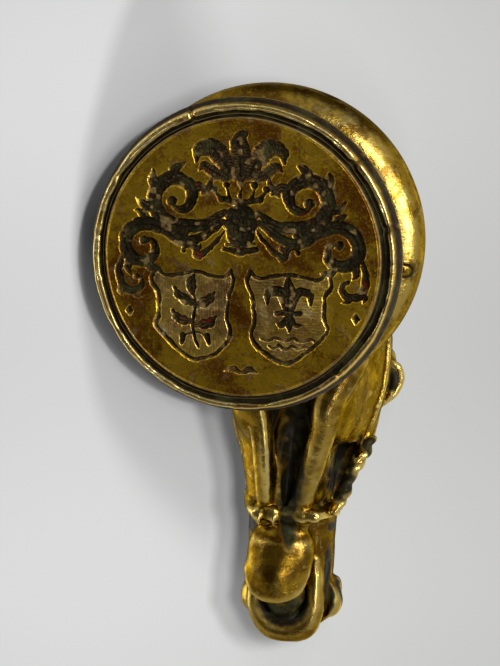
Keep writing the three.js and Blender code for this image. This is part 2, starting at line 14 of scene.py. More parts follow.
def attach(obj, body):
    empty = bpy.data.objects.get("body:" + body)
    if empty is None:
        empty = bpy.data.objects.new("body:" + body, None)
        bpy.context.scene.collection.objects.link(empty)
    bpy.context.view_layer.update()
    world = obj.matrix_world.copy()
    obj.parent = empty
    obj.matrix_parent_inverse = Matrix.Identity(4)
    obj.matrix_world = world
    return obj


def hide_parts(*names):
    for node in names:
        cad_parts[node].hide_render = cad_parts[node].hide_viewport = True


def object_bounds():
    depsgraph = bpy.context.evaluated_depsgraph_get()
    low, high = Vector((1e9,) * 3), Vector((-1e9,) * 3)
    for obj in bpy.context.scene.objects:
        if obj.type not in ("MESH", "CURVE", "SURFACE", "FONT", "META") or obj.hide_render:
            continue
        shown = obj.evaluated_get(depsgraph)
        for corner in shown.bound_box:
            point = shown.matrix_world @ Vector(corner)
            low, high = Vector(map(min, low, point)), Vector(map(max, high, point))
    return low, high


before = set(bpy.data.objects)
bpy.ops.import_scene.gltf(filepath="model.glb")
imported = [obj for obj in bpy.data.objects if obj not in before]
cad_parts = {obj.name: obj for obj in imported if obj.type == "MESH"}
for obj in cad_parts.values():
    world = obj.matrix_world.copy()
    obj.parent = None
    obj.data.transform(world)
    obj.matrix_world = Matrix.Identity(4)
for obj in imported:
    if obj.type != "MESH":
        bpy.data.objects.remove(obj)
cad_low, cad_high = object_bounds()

MM = 0.001
RANDOM_SEED = 11

# Sizes that the frame's solids have too
FACE_RADIUS = 14.4
RIM_WIDTH = 0.45
BORDER_WIDTH = 0.85
BORDER_DEPTH = 0.6
FIELD_RADIUS = FACE_RADIUS - RIM_WIDTH - BORDER_WIDTH
PLATE_EDGE_RADIUS = 15.0
PLATE_BACK = 2.0
PLATE_EDGE_BAND = 0.35
BASE_TOP = 19.0
WAIST_SEAT_RADIUS = 12.6
WAIST_RADIUS = 11.9
WAIST_HEIGHT = 5.6
COLLAR_RADIUS = 15.87
COLLAR_TUBE = 3.0
COLLAR_Z = 14.6
SHOULDER_RADIUS = 10.3
BEAD_RADIUS = 10.6
BEAD_TUBE = 0.75
PIN_RADIUS = 0.55
PIN_ANGLE = math.radians(190)
PIN_Z = 12.0
HEAD_LENGTH = 54.0
POLL_Y = 3.0
POLL_HEIGHT = 29.0
NECK_FOOT_RADIUS = 9.4
EAR_LENGTH = 7.0
EAR_RADIUS = 1.9
MANE_RADIUS = 1.9
STRAP_HALF_WIDTH = 0.95
CORD_RADIUS = 0.8
DIP_SHARE = 0.07
BEND_SHARE = 0.026
STUD_HOLE_RADIUS = 3.15
STUD_HOLE_DEPTH = 14.0
POCKET_RADIUS = 6.15
POCKET_TOP = 5.4
PIN_HOLE_RADIUS = PIN_RADIUS + 0.14

FACE_CELLS = 440
BASE_SIDES = 480
BASE_FINENESS = 36
HEAD_STEP = 0.22
PIN_SIDES = 32


# Camera: a pinhole fitted to the photograph's ellipses

IMAGE_WIDTH = 500
IMAGE_HEIGHT = 666
FOCAL_PX = 1500.0
SENSOR_MM = 36.0
CAMERA_DISTANCE = 140.0
FACE_CENTRE_PX = (240.4, 259.6)
AXIS_TILT = 0.268
AXIS_TILT_WAY = math.radians(-34.6)
PICTURE_ROLL = 0.04


def pixel_ray(x, y):
    """The way to a place in the picture: right, down and forwards of the camera."""
    return np.array([(x - IMAGE_WIDTH / 2) / FOCAL_PX, (y - IMAGE_HEIGHT / 2) / FOCAL_PX, 1.0])


def camera_axes():
    """The camera's right, down and forward directions in the frame, and its place, in millimetres."""
    ray = pixel_ray(*FACE_CENTRE_PX)
    axis = ray + (AXIS_TILT * math.cos(AXIS_TILT_WAY), AXIS_TILT * math.sin(AXIS_TILT_WAY), 0)
    axis /= np.linalg.norm(axis)
    down = np.array([-PICTURE_ROLL, 1.0, 0.0])
    down -= (down @ axis) * axis
    y_axis = -down / np.linalg.norm(down)
    turn = np.stack([np.cross(y_axis, axis), y_axis, axis], axis=1)
    return turn, turn.T @ (-ray * CAMERA_DISTANCE)


def make_camera():
    turn, place = camera_axes()
    data = bpy.data.cameras.new("camera")
    data.sensor_width = SENSOR_MM
    data.lens = FOCAL_PX * SENSOR_MM / IMAGE_HEIGHT
    data.clip_start = 0.01
    data.clip_end = 5.0
    camera = bpy.data.objects.new("camera", data)
    rows = [turn[0], -turn[1], -turn[2]]
    matrix = Matrix([[rows[c][r] for c in range(3)] for r in range(3)]).to_4x4()
    matrix.translation = Vector(place * MM)
    camera.matrix_world = matrix
    bpy.context.scene.collection.objects.link(camera)
    bpy.context.scene.camera = camera


make_camera()
bpy.context.scene.view_settings.view_transform = "Standard"


# Small tools

def along(table, u):
    """A smooth value at u from rows of (u, value)."""
    rows = np.array(table, float)
    us, vs = rows[:, 0], rows[:, 1]
    last = len(us) - 1
    before = np.maximum(np.arange(last + 1) - 1, 0)
    after = np.minimum(np.arange(last + 1) + 1, last)
    slopes = (vs[after] - vs[before]) / (us[after] - us[before])
    u = np.asarray(u, float)
    i = np.clip(np.searchsorted(us, u, side="left") - 1, 0, last - 1)
    span = us[i + 1] - us[i]
    t = np.clip((u - us[i]) / span, 0, 1)
    rise = (1 + 2 * t) * (1 - t) ** 2 * vs[i] + t * t * (3 - 2 * t) * vs[i + 1]
    return rise + span * (t * (1 - t) ** 2 * slopes[i] - t * t * (1 - t) * slopes[i + 1])


def smooth_curve(points, count):
    """Points along a smooth curve through the given ones."""
    points = np.array(points, float)
    places = np.linspace(0, len(points) - 1, count)
    keys = np.arange(len(points))
    return np.stack([along(np.stack([keys, column], 1), places) for column in points.T], 1)


def smooth_step(low, high, value):
    t = np.clip((value - low) / (high - low), 0, 1)
    return t * t * (3 - 2 * t)


def smooth_min(a, b, blend):
    if blend <= 0:
        return np.minimum(a, b)
    near = np.maximum(blend - np.abs(a - b), 0) / blend
    return np.minimum(a, b) - near * near * blend / 4


def smooth_max(a, b, blend):
    return -smooth_min(-a, -b, blend)


def flat_noise(x, y, cell, seed):
    return lattice_noise([x, y, 0 * x], cell, seed)


def lattice_noise(places, cell, seed):
    """Smooth noise between -1 and 1 at places, one lattice cell wide."""
    rng = np.random.default_rng(seed)
    size = 64
    values = rng.uniform(-1, 1, (size, size, size)).astype(np.float32)
    places = [np.asarray(axis, float) / cell + size * 4 for axis in places]
    whole = [np.floor(axis).astype(int) for axis in places]
    part = [axis - low for axis, low in zip(places, whole)]
    part = [t * t * (3 - 2 * t) for t in part]
    total = 0
    for corner in range(8):
        bits = [(corner >> k) & 1 for k in range(3)]
        weight = 1
        for t, bit in zip(part, bits):
            weight = weight * (t if bit else 1 - t)
        index = [(low + bit) % size for low, bit in zip(whole, bits)]
        total = total + weight * values[index[0], index[1], index[2]]
    return total


def set_tones(mesh, tones):
    """Gives each point the four numbers that the materials read.

    They are fine hollow, broad hollow, worn edge and thick dirt, each from 0 to 1; in places the worn edge
    holds a painted highlight and the thick dirt a painted shade.
    """
    layer = mesh.attributes.get("tones") or mesh.attributes.new("tones", "FLOAT_COLOR", "POINT")
    layer.data.foreach_set("color", np.clip(tones, 0, 1).astype(np.float32).ravel())


def mesh_object(name, points, faces, tones=None):
    """A smooth-shaded mesh from points in millimetres, with one face in each row of faces."""
    mesh = bpy.data.meshes.new(name)
    mesh.vertices.add(len(points))
    mesh.vertices.foreach_set("co", (np.asarray(points, float) * MM).astype(np.float32).ravel())
    sides = faces.shape[1]
    mesh.loops.add(faces.size)
    mesh.loops.foreach_set("vertex_index", faces.astype(np.int32).ravel())
    mesh.polygons.add(len(faces))
    mesh.polygons.foreach_set("loop_start", np.arange(0, faces.size, sides, dtype=np.int32))
    mesh.polygons.foreach_set("use_smooth", np.ones(len(faces), bool))
    if tones is not None:
        set_tones(mesh, tones)
    mesh.update()
    mesh.validate()
    thing = bpy.data.objects.new(name, mesh)
    bpy.context.scene.collection.objects.link(thing)
    return thing


# Materials

class Nodes:
    """The node tree of a material or a world, emptied for new nodes."""

    def __init__(self, owner):
        owner.use_nodes = True
        self.tree = owner.node_tree
        self.tree.nodes.clear()

    def join(self, source, target):
        if isinstance(source, bpy.types.NodeSocket):
            self.tree.links.new(source, target)
        else:
            target.default_value = source

    def node(self, kind, **inputs):
        """A new node with some of its inputs set or linked."""
        node = self.tree.nodes.new("ShaderNode" + kind)
        for name, value in inputs.items():
            self.join(value, node.inputs[name.replace("_", " ")])
        return node

    def fill(self, node, *values):
        """Sets or links a node's first inputs in their own order."""
        for value, target in zip(values, node.inputs):
            self.join(value, target)
        return node.outputs[0]

    def math(self, operation, a, b=0.0, clamp=False):
        node = self.node("Math")
        node.operation = operation
        node.use_clamp = clamp
        return self.fill(node, a, b)


class Shades(Nodes):
    """A material with short names for the nodes that the brass needs."""

    def __init__(self, name):
        self.material = bpy.data.materials.new(name)
        super().__init__(self.material)
        self.output = self.node("OutputMaterial")
        self.shader = self.node("BsdfPrincipled")
        self.join(self.shader.outputs["BSDF"], self.output.inputs["Surface"])
        self.place = self.node("TexCoord").outputs["Object"]

    def give(self, **values):
        """Sets or links the shader's own inputs."""
        for name, value in values.items():
            self.join(value, self.shader.inputs[name.replace("_", " ")])

    def noise(self, size_mm, detail=3.0, roughness=0.5, distortion=0.0, stretch=None):
        place = self.place
        if stretch:
            place = self.node("Mapping", Scale=stretch, Vector=place).outputs["Vector"]
        node = self.node("TexNoise", Scale=1 / (size_mm * MM), Detail=detail, Vector=place)
        self.join(roughness, node.inputs["Roughness"])
        self.join(distortion, node.inputs["Distortion"])
        return node.outputs["Fac"]

    def times(self, a, b):
        return self.math("MULTIPLY", a, b)

    def add(self, *terms):
        total = terms[0]
        for term in terms[1:]:
            total = self.math("ADD", total, term)
        return total

    def swing(self, value, size):
        """A noise value, moved to lie around zero and sized."""
        return self.times(self.math("SUBTRACT", value, 0.5), size)

    def spread(self, value, low, high, to_low=0.0, to_high=1.0):
        ends = {"From_Min": low, "From_Max": high, "To_Min": to_low, "To_Max": to_high}
        node = self.node("MapRange", Value=value, **ends)
        node.interpolation_type = "SMOOTHSTEP"
        return node.outputs["Result"]

    def mix(self, factor, a, b):
        node = self.node("Mix")
        node.data_type = "RGBA"
        for value, place in ((factor, 0), (a, 6), (b, 7)):
            self.join(value, node.inputs[place])
        return node.outputs[2]

    def tones(self):
        node = self.node("Attribute")
        node.attribute_name = "tones"
        parts = self.node("SeparateColor", Color=node.outputs["Color"]).outputs
        return parts[0], parts[1], parts[2], node.outputs["Alpha"]

    def bump(self, *layers):
        """Bumps stacked from (height, depth in mm) pairs."""
        normal = None
        for height, depth_mm in layers:
            node = self.node("Bump", Distance=depth_mm * MM, Height=height)
            if normal:
                self.join(normal, node.inputs["Normal"])
            normal = node.outputs["Normal"]
        self.give(Normal=normal)


def rgb(red, green, blue):
    """A colour written as it looks, in 0 to 255, as the numbers that shaders use."""
    shares = [c / 255 for c in (red, green, blue)]
    return (*(((c + 0.055) / 1.055) ** 2.4 if c > 0.04 else c / 12.92 for c in shares), 1.0)


def brass(name, bright, gold, brown, dirt_and_shade, polish, tarnish, roughness, mottle, wax=False):
    """Old brass in three states: bright where hands rub it and where the tones paint a highlight, gold
    to brown over the rest, and black-olive dirt in the hollows and where the tones paint shade.
    polish, tarnish and mottle say how much there is of each.
    """
    s = Shades(name)
    fine, broad, edge, thick_dirt_and_shade = s.tones()
    cloud = s.noise(6.0, 5.0, 0.6, 0.8)
    patch = s.noise(1.9, 5.0, 0.62, 0.4)
    speck = s.noise(0.55, 4.0, 0.65)
    grit = s.noise(0.13, 2.0, 0.6)
    olive = s.noise(3.3, 4.0, 0.6, 1.2)
    crumbs = s.noise(0.32, 4.0, 0.7, 0.6)
    scratch = s.noise(0.22, 2.0, 0.5, 0.0, (0.12, 1.0, 0.12))
    stain = s.spread(s.noise(0.8, 4.0, 0.7), 0.655, 0.72)

    aged = s.add(s.times(cloud, 0.6), s.times(patch, 0.4), s.times(s.add(fine, broad), 0.16))
    aged = s.add(aged, s.times(edge, -0.22), s.swing(crumbs, 0.7 * mottle))
    sooner = 0.26 * tarnish
    colour = s.mix(s.spread(aged, 0.64 - sooner, 0.77 - sooner), gold, brown)
    glint = tuple((a + b) / 2 for a, b in zip(gold, bright))
    colour = s.mix(s.times(s.spread(crumbs, 0.52, 0.72), mottle), colour, glint)
    colour = s.mix(s.times(s.spread(speck, 0.55, 0.72), 0.45), colour, brown)
    # Worn edges and the highlights painted into the tones both turn the colour bright.
    rubbed_and_sheen = s.add(s.times(edge, 0.9), s.times(s.spread(patch, 0.56, 0.72), 0.4))
    rubbed_and_sheen = s.math("MULTIPLY", rubbed_and_sheen, 0.5 + polish, clamp=True)
    colour = s.mix(rubbed_and_sheen, colour, bright)

    film = s.add(fine, s.times(broad, 0.75), s.swing(patch, 0.8), s.swing(speck, 0.5))
    film = s.spread(film, 0.28, 0.88, 0.0, 0.98)
    film = s.times(film, s.math("SUBTRACT", 1.0, s.times(edge, 0.75)))
    # The thick dirt tone also holds painted shade.
    film = s.math("MAXIMUM", film, s.spread(thick_dirt_and_shade, 0.0, 0.75, 0.0, 0.97))
    film = s.math("MAXIMUM", film, s.times(stain, 0.2))
    grime = s.mix(s.spread(olive, 0.48, 0.66), dirt_and_shade, OLIVE_GRIME)
    grime = s.mix(s.times(s.spread(crumbs, 0.56, 0.72), 0.4 * mottle), grime, PALE_GRIME)
    colour = s.mix(film, colour, grime)
    if wax:
        drops = s.spread(s.noise(2.4, 2.0, 0.5, 0.4), 0.66, 0.71)
        where = s.times(s.times(drops, s.spread(fine, 0.5, 0.8)), s.spread(broad, 0.75, 0.9, 1.0, 0.0))
        colour = s.mix(s.times(where, 0.7), colour, RED_WAX)

    rough = s.add(s.swing(patch, 0.3), roughness, s.times(rubbed_and_sheen, -0.08))
    rough = s.math("ADD", rough, s.times(film, 0.25), clamp=True)
    s.give(Base_Color=colour, Roughness=rough, Metallic=s.spread(film, 0.05, 0.9, 1.0, 0.03))
    s.give(Specular_IOR_Level=0.04, Specular_Tint=(0.9, 0.76, 0.46, 1))
    s.give(Coat_Weight=s.times(thick_dirt_and_shade, 0.12), Coat_Roughness=0.3)
    pits = (crumbs, 0.03 * mottle)
    s.bump((patch, 0.09), (speck, 0.035 + 0.03 * mottle), pits, (grit, 0.008), (scratch, 0.012))
    return s.material


def iron(name):
    s = Shades(name)
    scale = s.noise(1.2, 5.0, 0.6)
    colour = s.mix(s.spread(scale, 0.4, 0.65), rgb(58, 52, 47), rgb(92, 62, 42))
    s.give(Base_Color=colour, Roughness=s.spread(scale, 0.3, 0.7, 0.45, 0.75), Metallic=0.85)
    s.bump((scale, 0.05))
    return s.material


OLIVE_GRIME = rgb(36, 39, 22)
PALE_GRIME = rgb(64, 66, 38)
RED_WAX = rgb(88, 24, 14)
FACE_BRASS = brass(
    "face_brass", rgb(226, 208, 148), rgb(208, 168, 42), rgb(124, 74, 14), rgb(13, 16, 11),
    polish=0.4, tarnish=0.8, roughness=0.32, mottle=0.6, wax=True,
)
TURNED_BRASS = brass(
    "turned_brass", rgb(212, 192, 118), rgb(160, 128, 40), rgb(96, 68, 18), rgb(15, 15, 9),
    polish=0.35, tarnish=0.9, roughness=0.26, mottle=0.45,
)
CAST_BRASS = brass(
    "cast_brass", rgb(214, 190, 112), rgb(146, 114, 30), rgb(92, 64, 14), rgb(12, 12, 9),
    polish=0.4, tarnish=0.9, roughness=0.25, mottle=0.3,
)
IRON = iron("forged_iron")


# The sealing face, as it is seen from below: p to the viewer's right and q up, both as shares of
# the field's radius. The engraving is a crested helmet over two shields, between scrolls.

class Engraving:
    """Depths cut into the flat field, in millimetres, at points (p, q)."""

    def __init__(self, p, q):
        self.p, self.q = p, q
        self.depth = np.zeros_like(p)

    def near(self, points, reach):
        low, high = points.min(0) - reach, points.max(0) + reach
        inside = (self.p > low[0]) & (self.p < high[0]) & (self.q > low[1]) & (self.q < high[1])
        return np.nonzero(inside)[0]

    def stroke(self, points, widths, deep, vein=0.0, barbs=0.0):
        """Cuts a round-bottomed groove along a curve, as wide as widths at its points."""
        points = np.asarray(points, float)
        widths = np.broadcast_to(np.asarray(widths, float), len(points))
        pick = self.near(points, widths.max())
        if not len(pick):
            return
        p, q = self.p[pick], self.q[pick]
        best = np.full(len(pick), -1.0)
        aside = np.zeros(len(pick))
        along_it = np.zeros(len(pick))
        travelled = 0.0
        for k in range(len(points) - 1):
            a, b = points[k], points[k + 1]
            step = b - a
            length = math.hypot(*step)
            if length < 1e-9:
                continue
            t = np.clip(((p - a[0]) * step[0] + (q - a[1]) * step[1]) / length ** 2, 0, 1)
            dp, dq = p - a[0] - t * step[0], q - a[1] - t * step[1]
            width = widths[k] + (widths[k + 1] - widths[k]) * t
            value = 1 - (dp * dp + dq * dq) / np.maximum(width, 1e-6) ** 2
            better = value > best
            side = (step[0] * dq - step[1] * dp) / length / np.maximum(width, 1e-6)
            best = np.where(better, value, best)
            aside = np.where(better, side, aside)
            along_it = np.where(better, travelled + t * length, along_it)
            travelled += length
        cut = np.sqrt(np.maximum(best, 0)) * deep
        if vein:
            cut *= 1 - vein * np.exp(-(aside / 0.22) ** 2)
        if barbs:
            lines = np.sin((along_it + 0.012 * np.abs(aside)) * 2 * math.pi / barbs)
            cut *= 1 - 0.28 * np.clip(lines, 0, 1) * smooth_step(0.1, 0.4, np.abs(aside))
        self.depth[pick] = np.maximum(self.depth[pick], cut)

    def ball(self, centre, radius, deep):
        self.stroke([centre, (centre[0] + 1e-4, centre[1])], radius, deep)

    def leaf(self, points, width, deep, vein=0.45, barbs=0.0):
        """A tapering leaf along a curve, widest a third of the way along."""
        curve = smooth_curve(points, 14)
        t = np.linspace(0, 1, len(curve))
        widths = width * np.sin(math.pi * (0.1 + 0.86 * t ** 0.8)) + 0.004
        self.stroke(curve, widths, deep, vein, barbs)

    def region(self, outline):
        """Signed distances to a closed outline, negative inside."""
        outline = np.asarray(outline, float)
        distance = np.full(len(self.p), 9.0)
        inside = np.zeros(len(self.p), bool)
        for a, b in zip(outline, np.roll(outline, -1, 0)):
            step = b - a
            p, q = self.p - a[0], self.q - a[1]
            t = np.clip((p * step[0] + q * step[1]) / (step @ step), 0, 1)
            distance = np.minimum(distance, np.hypot(p - t * step[0], q - t * step[1]))
            crosses = (a[1] > self.q) != (b[1] > self.q)
            rise = step[1] if abs(step[1]) > 1e-12 else 1e-12
            inside ^= crosses & (p < q / rise * step[0])
        return np.where(inside, -distance, distance)


HAND_SHAKE = 0.006


def volute(entry, centre, radius, turn_from, turn_to, end_radius):
    """A curve that runs in along entry and winds round centre."""
    angles = np.radians(np.linspace(turn_from, turn_to, 26))
    radii = np.linspace(1, 0, 26) ** 0.8 * (radius - end_radius) + end_radius
    coil = np.stack([centre[0] + radii * np.cos(angles), centre[1] + radii * np.sin(angles)], 1)
    return np.concatenate([smooth_curve([*entry, coil[0]], 12)[:-1], coil])


def side_of(points, side):
    return [(side * p, q) for p, q in points]


SHIELD_SHARES = [
    (0.07, -0.08), (0.13, -0.13), (0.34, -0.1), (0.55, -0.13), (0.62, -0.08), (0.66, -0.17), (0.61, -0.26),
    (0.61, -0.42), (0.63, -0.5), (0.52, -0.62), (0.35, -0.74), (0.18, -0.68), (0.08, -0.56), (0.1, -0.44),
    (0.09, -0.28), (0.05, -0.16),
]

# Scrolls as width, the curve's way in, and the coil's centre, radius, start, stop and end radius
SCROLLS = [
    (0.05, [(0.12, 0.34), (0.24, 0.25), (0.36, 0.235)], (0.46, 0.43), 0.195, -88, 330, 0.045),
    (0.046, [(0.13, 0.27), (0.28, 0.16), (0.42, 0.12), (0.55, 0.2)], (0.71, 0.08), 0.17, 112, -270, 0.04),
    (0.028, [(0.87, 0.02), (0.9, -0.08)], (0.79, -0.17), 0.105, 10, -240, 0.03),
    (0.024, [(0.12, 0.2), (0.22, 0.08), (0.3, 0.02)], (0.39, 0.045), 0.07, 200, 20, 0.03),
]


def engrave_scroll(e, width, coil, side, rng):
    """A scroll that swells along its length, with leaves that spring from its outer edge."""
    curve = volute(*coil) * (side, 1)
    t = np.linspace(0, 1, len(curve))
    swell = 0.4 + 0.95 * np.sin(math.pi * np.clip(t * 1.05, 0, 1)) ** 0.7
    e.stroke(curve, width * swell * (1 - 0.3 * t), 0.55, vein=0.35)
    e.ball(curve[-1], width * 0.75, 0.5)
    lobes = 6 if width > 0.03 else 3
    for k in range(lobes):
        at = int(len(curve) * (0.26 + 0.5 * k / lobes))
        way = curve[at] - curve[at - 1]
        way /= np.linalg.norm(way)
        out = curve[at] - np.array(coil[1]) * (side, 1)
        out /= np.linalg.norm(out)
        size = width * rng.uniform(1.35, 1.75)
        middle = curve[at] + (out * 0.8 + way * 0.35) * size
        tip = curve[at] + (out * 1.15 + way * 1.25) * size
        if np.hypot(*tip) < 0.93:
            e.leaf([curve[at], middle, tip], width * 0.66, 0.48)


def engrave_helmet(e):
    """A barred helmet, full face, on its gorget."""
    dome = np.hypot(e.p / 0.135, (e.q - 0.275) / 0.12)
    chin = np.hypot(e.p / 0.105, (e.q - 0.19) / 0.115)
    body = np.minimum(dome, chin)
    cut = 0.6 * np.sqrt(np.clip(1 - body ** 3, 0, 1))
    grille = smooth_step(1.0, 0.85, np.hypot(e.p / 0.085, (e.q - 0.215) / 0.075))
    bars = 0.5 + 0.5 * np.cos(e.p / 0.033 * 2 * math.pi)
    cut += grille * (0.14 * bars - 0.1)
    brow = np.exp(-((e.q - 0.3 + 0.9 * e.p ** 2) / 0.012) ** 2)
    cut -= 0.2 * brow * (dome < 1)
    e.depth = np.maximum(e.depth, np.where(body < 1, cut, 0))
    e.stroke([(-0.12, 0.075), (0, 0.052), (0.12, 0.075)], [0.018, 0.03, 0.018], 0.4)
    e.stroke([(-0.1, 0.11), (0, 0.088), (0.1, 0.11)], 0.012, 0.42)


# The plumes of one side as width, depth, distance between barbs, and a curve
SIDE_PLUMES = [
    (0.07, 0.48, 0.022, [(0.05, 0.58), (0.12, 0.7), (0.2, 0.79), (0.3, 0.77), (0.32, 0.69)]),
    (0.04, 0.4, 0.02, [(0.09, 0.57), (0.18, 0.61), (0.26, 0.66), (0.3, 0.63)]),
]


def engrave_crest(e):
    """A coronet with five pearls, and five plumes above it."""
    e.stroke(smooth_curve([(-0.145, 0.43), (0, 0.405), (0.145, 0.43)], 9), 0.024, 0.5)
    for p, q in [(-0.185, 0.5), (-0.1, 0.53), (0, 0.545), (0.1, 0.53), (0.185, 0.5)]:
        e.stroke([(p * 0.75, 0.43), (p, q - 0.02)], [0.018, 0.008], 0.42)
        e.ball((p, q), 0.026, 0.5)
    e.leaf([(0, 0.57), (0.004, 0.7), (-0.004, 0.84), (0.05, 0.9)], 0.074, 0.5, 0.35, 0.022)
    for side in (1, -1):
        for width, deep, barbs, curve in SIDE_PLUMES:
            e.leaf(side_of(curve, side), width, deep, 0.35, barbs)


def engrave_sprig(e, centre):
    """An oak sprig: a bent stem with lobed leaves and two acorns."""
    p0, q0 = centre

    def at(points):
        return [(p0 + p, q0 + q) for p, q in points]

    e.stroke(smooth_curve(at([(0.03, -0.26), (-0.01, -0.12), (0.01, 0.02), (0, 0.16)]), 12), 0.012, 0.5)
    leaves = [
        ((0, 0.13), (-0.02, 0.2), (0.01, 0.27)), ((0, 0.06), (-0.09, 0.1), (-0.15, 0.18)),
        ((0.01, 0.04), (0.1, 0.08), (0.16, 0.15)), ((-0.01, -0.08), (-0.1, -0.06), (-0.17, 0.01)),
        ((0, -0.1), (0.1, -0.09), (0.17, -0.03)),
    ]
    for base, middle, tip in leaves:
        curve = smooth_curve(at([base, middle, tip]), 16)
        t = np.linspace(0, 1, 16)
        lobed = 0.034 * np.sin(math.pi * (0.12 + 0.84 * t)) * (1 + 0.3 * np.sin(t * 7 * math.pi))
        e.stroke(curve, lobed, 0.55, 0.45)
    for p, q in ((-0.085, -0.2), (0.1, -0.2)):
        e.stroke(at([(p * 0.1, -0.15), (p * 0.8, q + 0.03)]), 0.007, 0.4)
        e.stroke(at([(p * 0.95, q + 0.02), (p * 1.1, q - 0.03)]), [0.026, 0.017], 0.5)


def engrave_lily(e, centre):
    """A heraldic lily with a band, its tails below, over two wavy bars."""
    p0, q0 = centre

    def at(points, side=1):
        return [(p0 + side * p, q0 + q) for p, q in points]

    e.leaf(at([(0, -0.02), (0, 0.12), (0, 0.25)]), 0.05, 0.6)
    for side in (1, -1):
        e.leaf(at([(0.015, -0.01), (0.06, 0.13), (0.15, 0.12), (0.16, 0.04)], side), 0.034, 0.55)
        e.leaf(at([(0.01, -0.04), (0.05, -0.1), (0.09, -0.1)], side), 0.02, 0.5)
    e.leaf(at([(0, -0.04), (0, -0.1), (0, -0.16)]), 0.026, 0.5)
    e.stroke(at([(-0.085, -0.02), (0.085, -0.02)]), 0.02, 0.6)
    for row in range(2):
        t = np.linspace(-1, 1, 25)
        span = 0.2 - 0.05 * row
        wave = [(p * span, -0.215 - 0.055 * row + 0.012 * math.sin(p * 10)) for p in t]
        e.stroke(at(wave), 0.011, 0.4)


HATCH_PITCH = 0.021


def engrave_shields(e):
    """Two shields with hatched floors inside cut outlines."""
    for side in (1, -1):
        outline = side_of(SHIELD_SHARES, side)
        outline = smooth_curve([*outline, outline[0]], 97)[:-1]
        distance = e.region(outline)
        hatch = np.cos((e.q if side > 0 else e.p) / HATCH_PITCH * 2 * math.pi)
        floor = smooth_step(0.0, -0.02, distance) * (0.085 + 0.011 * hatch)
        e.depth = np.maximum(e.depth, floor)
        line = 0.34 * np.sqrt(np.clip(1 - (distance / 0.017) ** 2, 0, 1))
        e.depth = np.maximum(e.depth, line)
    engrave_sprig(e, (-0.35, -0.39))
    engrave_lily(e, (0.35, -0.36))


def engrave_all(p, q):
    hand_p = flat_noise(p, q, 0.05, 31) + 0.6 * flat_noise(p, q, 0.02, 32)
    hand_q = flat_noise(p, q, 0.05, 33) + 0.6 * flat_noise(p, q, 0.02, 34)
    e = Engraving(p + HAND_SHAKE * hand_p, q + HAND_SHAKE * hand_q)
    rng = np.random.default_rng(RANDOM_SEED)
    for side in (1, -1):
        for width, *coil in SCROLLS:
            engrave_scroll(e, width, coil, side, rng)
        e.leaf(side_of([(0.28, 0.46), (0.22, 0.52), (0.2, 0.6)], side), 0.022, 0.35)
        diamond = side_of([(0.83, -0.36), (0.86, -0.4), (0.83, -0.44), (0.8, -0.4)], side)
        distance = e.region(diamond)
        e.depth = np.maximum(e.depth, 0.4 * smooth_step(0.008, -0.012, distance))
    engrave_helmet(e)
    engrave_crest(e)
    engrave_shields(e)
    for side in (-1, 1):
        e.leaf(side_of([(0, -0.83), (0.06, -0.8), (0.12, -0.82)], side), 0.02, 0.35)
    return e.depth


# Matrix plate: a fine disc for the field, and rings for the border, the rim and the side

def disc_grid(count):
    """A square grid laid over the unit disc without changing its areas, and its outer ring."""
    line = np.linspace(-1, 1, count + 1)
    a, b = np.meshgrid(line, line, indexing="ij")
    wide = np.abs(a) > np.abs(b)
    safe_a = np.where(np.abs(a) > 1e-12, a, 1)
    safe_b = np.where(np.abs(b) > 1e-12, b, 1)
    radius = np.where(wide, a, b)
    angle = np.where(wide, math.pi / 4 * b / safe_a, math.pi / 2 - math.pi / 4 * a / safe_b)
    p, q = radius * np.cos(angle), radius * np.sin(angle)
    index = np.arange((count + 1) ** 2).reshape(count + 1, count + 1)
    faces = np.stack([index[:-1, :-1], index[1:, :-1], index[1:, 1:], index[:-1, 1:]], -1).reshape(-1, 4)
    ring = np.concatenate([index[-1, :-1], index[::-1, -1][:-1], index[0, ::-1][:-1], index[:, 0][:-1]])
    return p.ravel(), q.ravel(), faces, ring


DISC_MARGIN = 0.16

# Knocks in the rim as angle, width in degrees and depth
RIM_NICKS = [
    (167, 1.3, 1.0), (139, 1.6, 0.9), (121, 4.0, 0.3), (97, 2.2, 0.35), (71, 0.7, 0.8), (34, 3.0, 0.3),
    (8, 1.2, 0.25), (331, 2.6, 0.3), (296, 1.4, 0.2), (262, 3.4, 0.25), (229, 1.0, 0.3), (196, 1.6, 0.4),
]


def rim_nicks(angle):
    """How far the rim is knocked in, from 0 to 1, at angles around the face."""
    total = np.zeros_like(angle)
    for place, width, depth in RIM_NICKS:
        away = (np.degrees(angle) - place + 180) % 360 - 180
        total = np.maximum(total, depth * np.exp(-(away / width) ** 2))
    return total


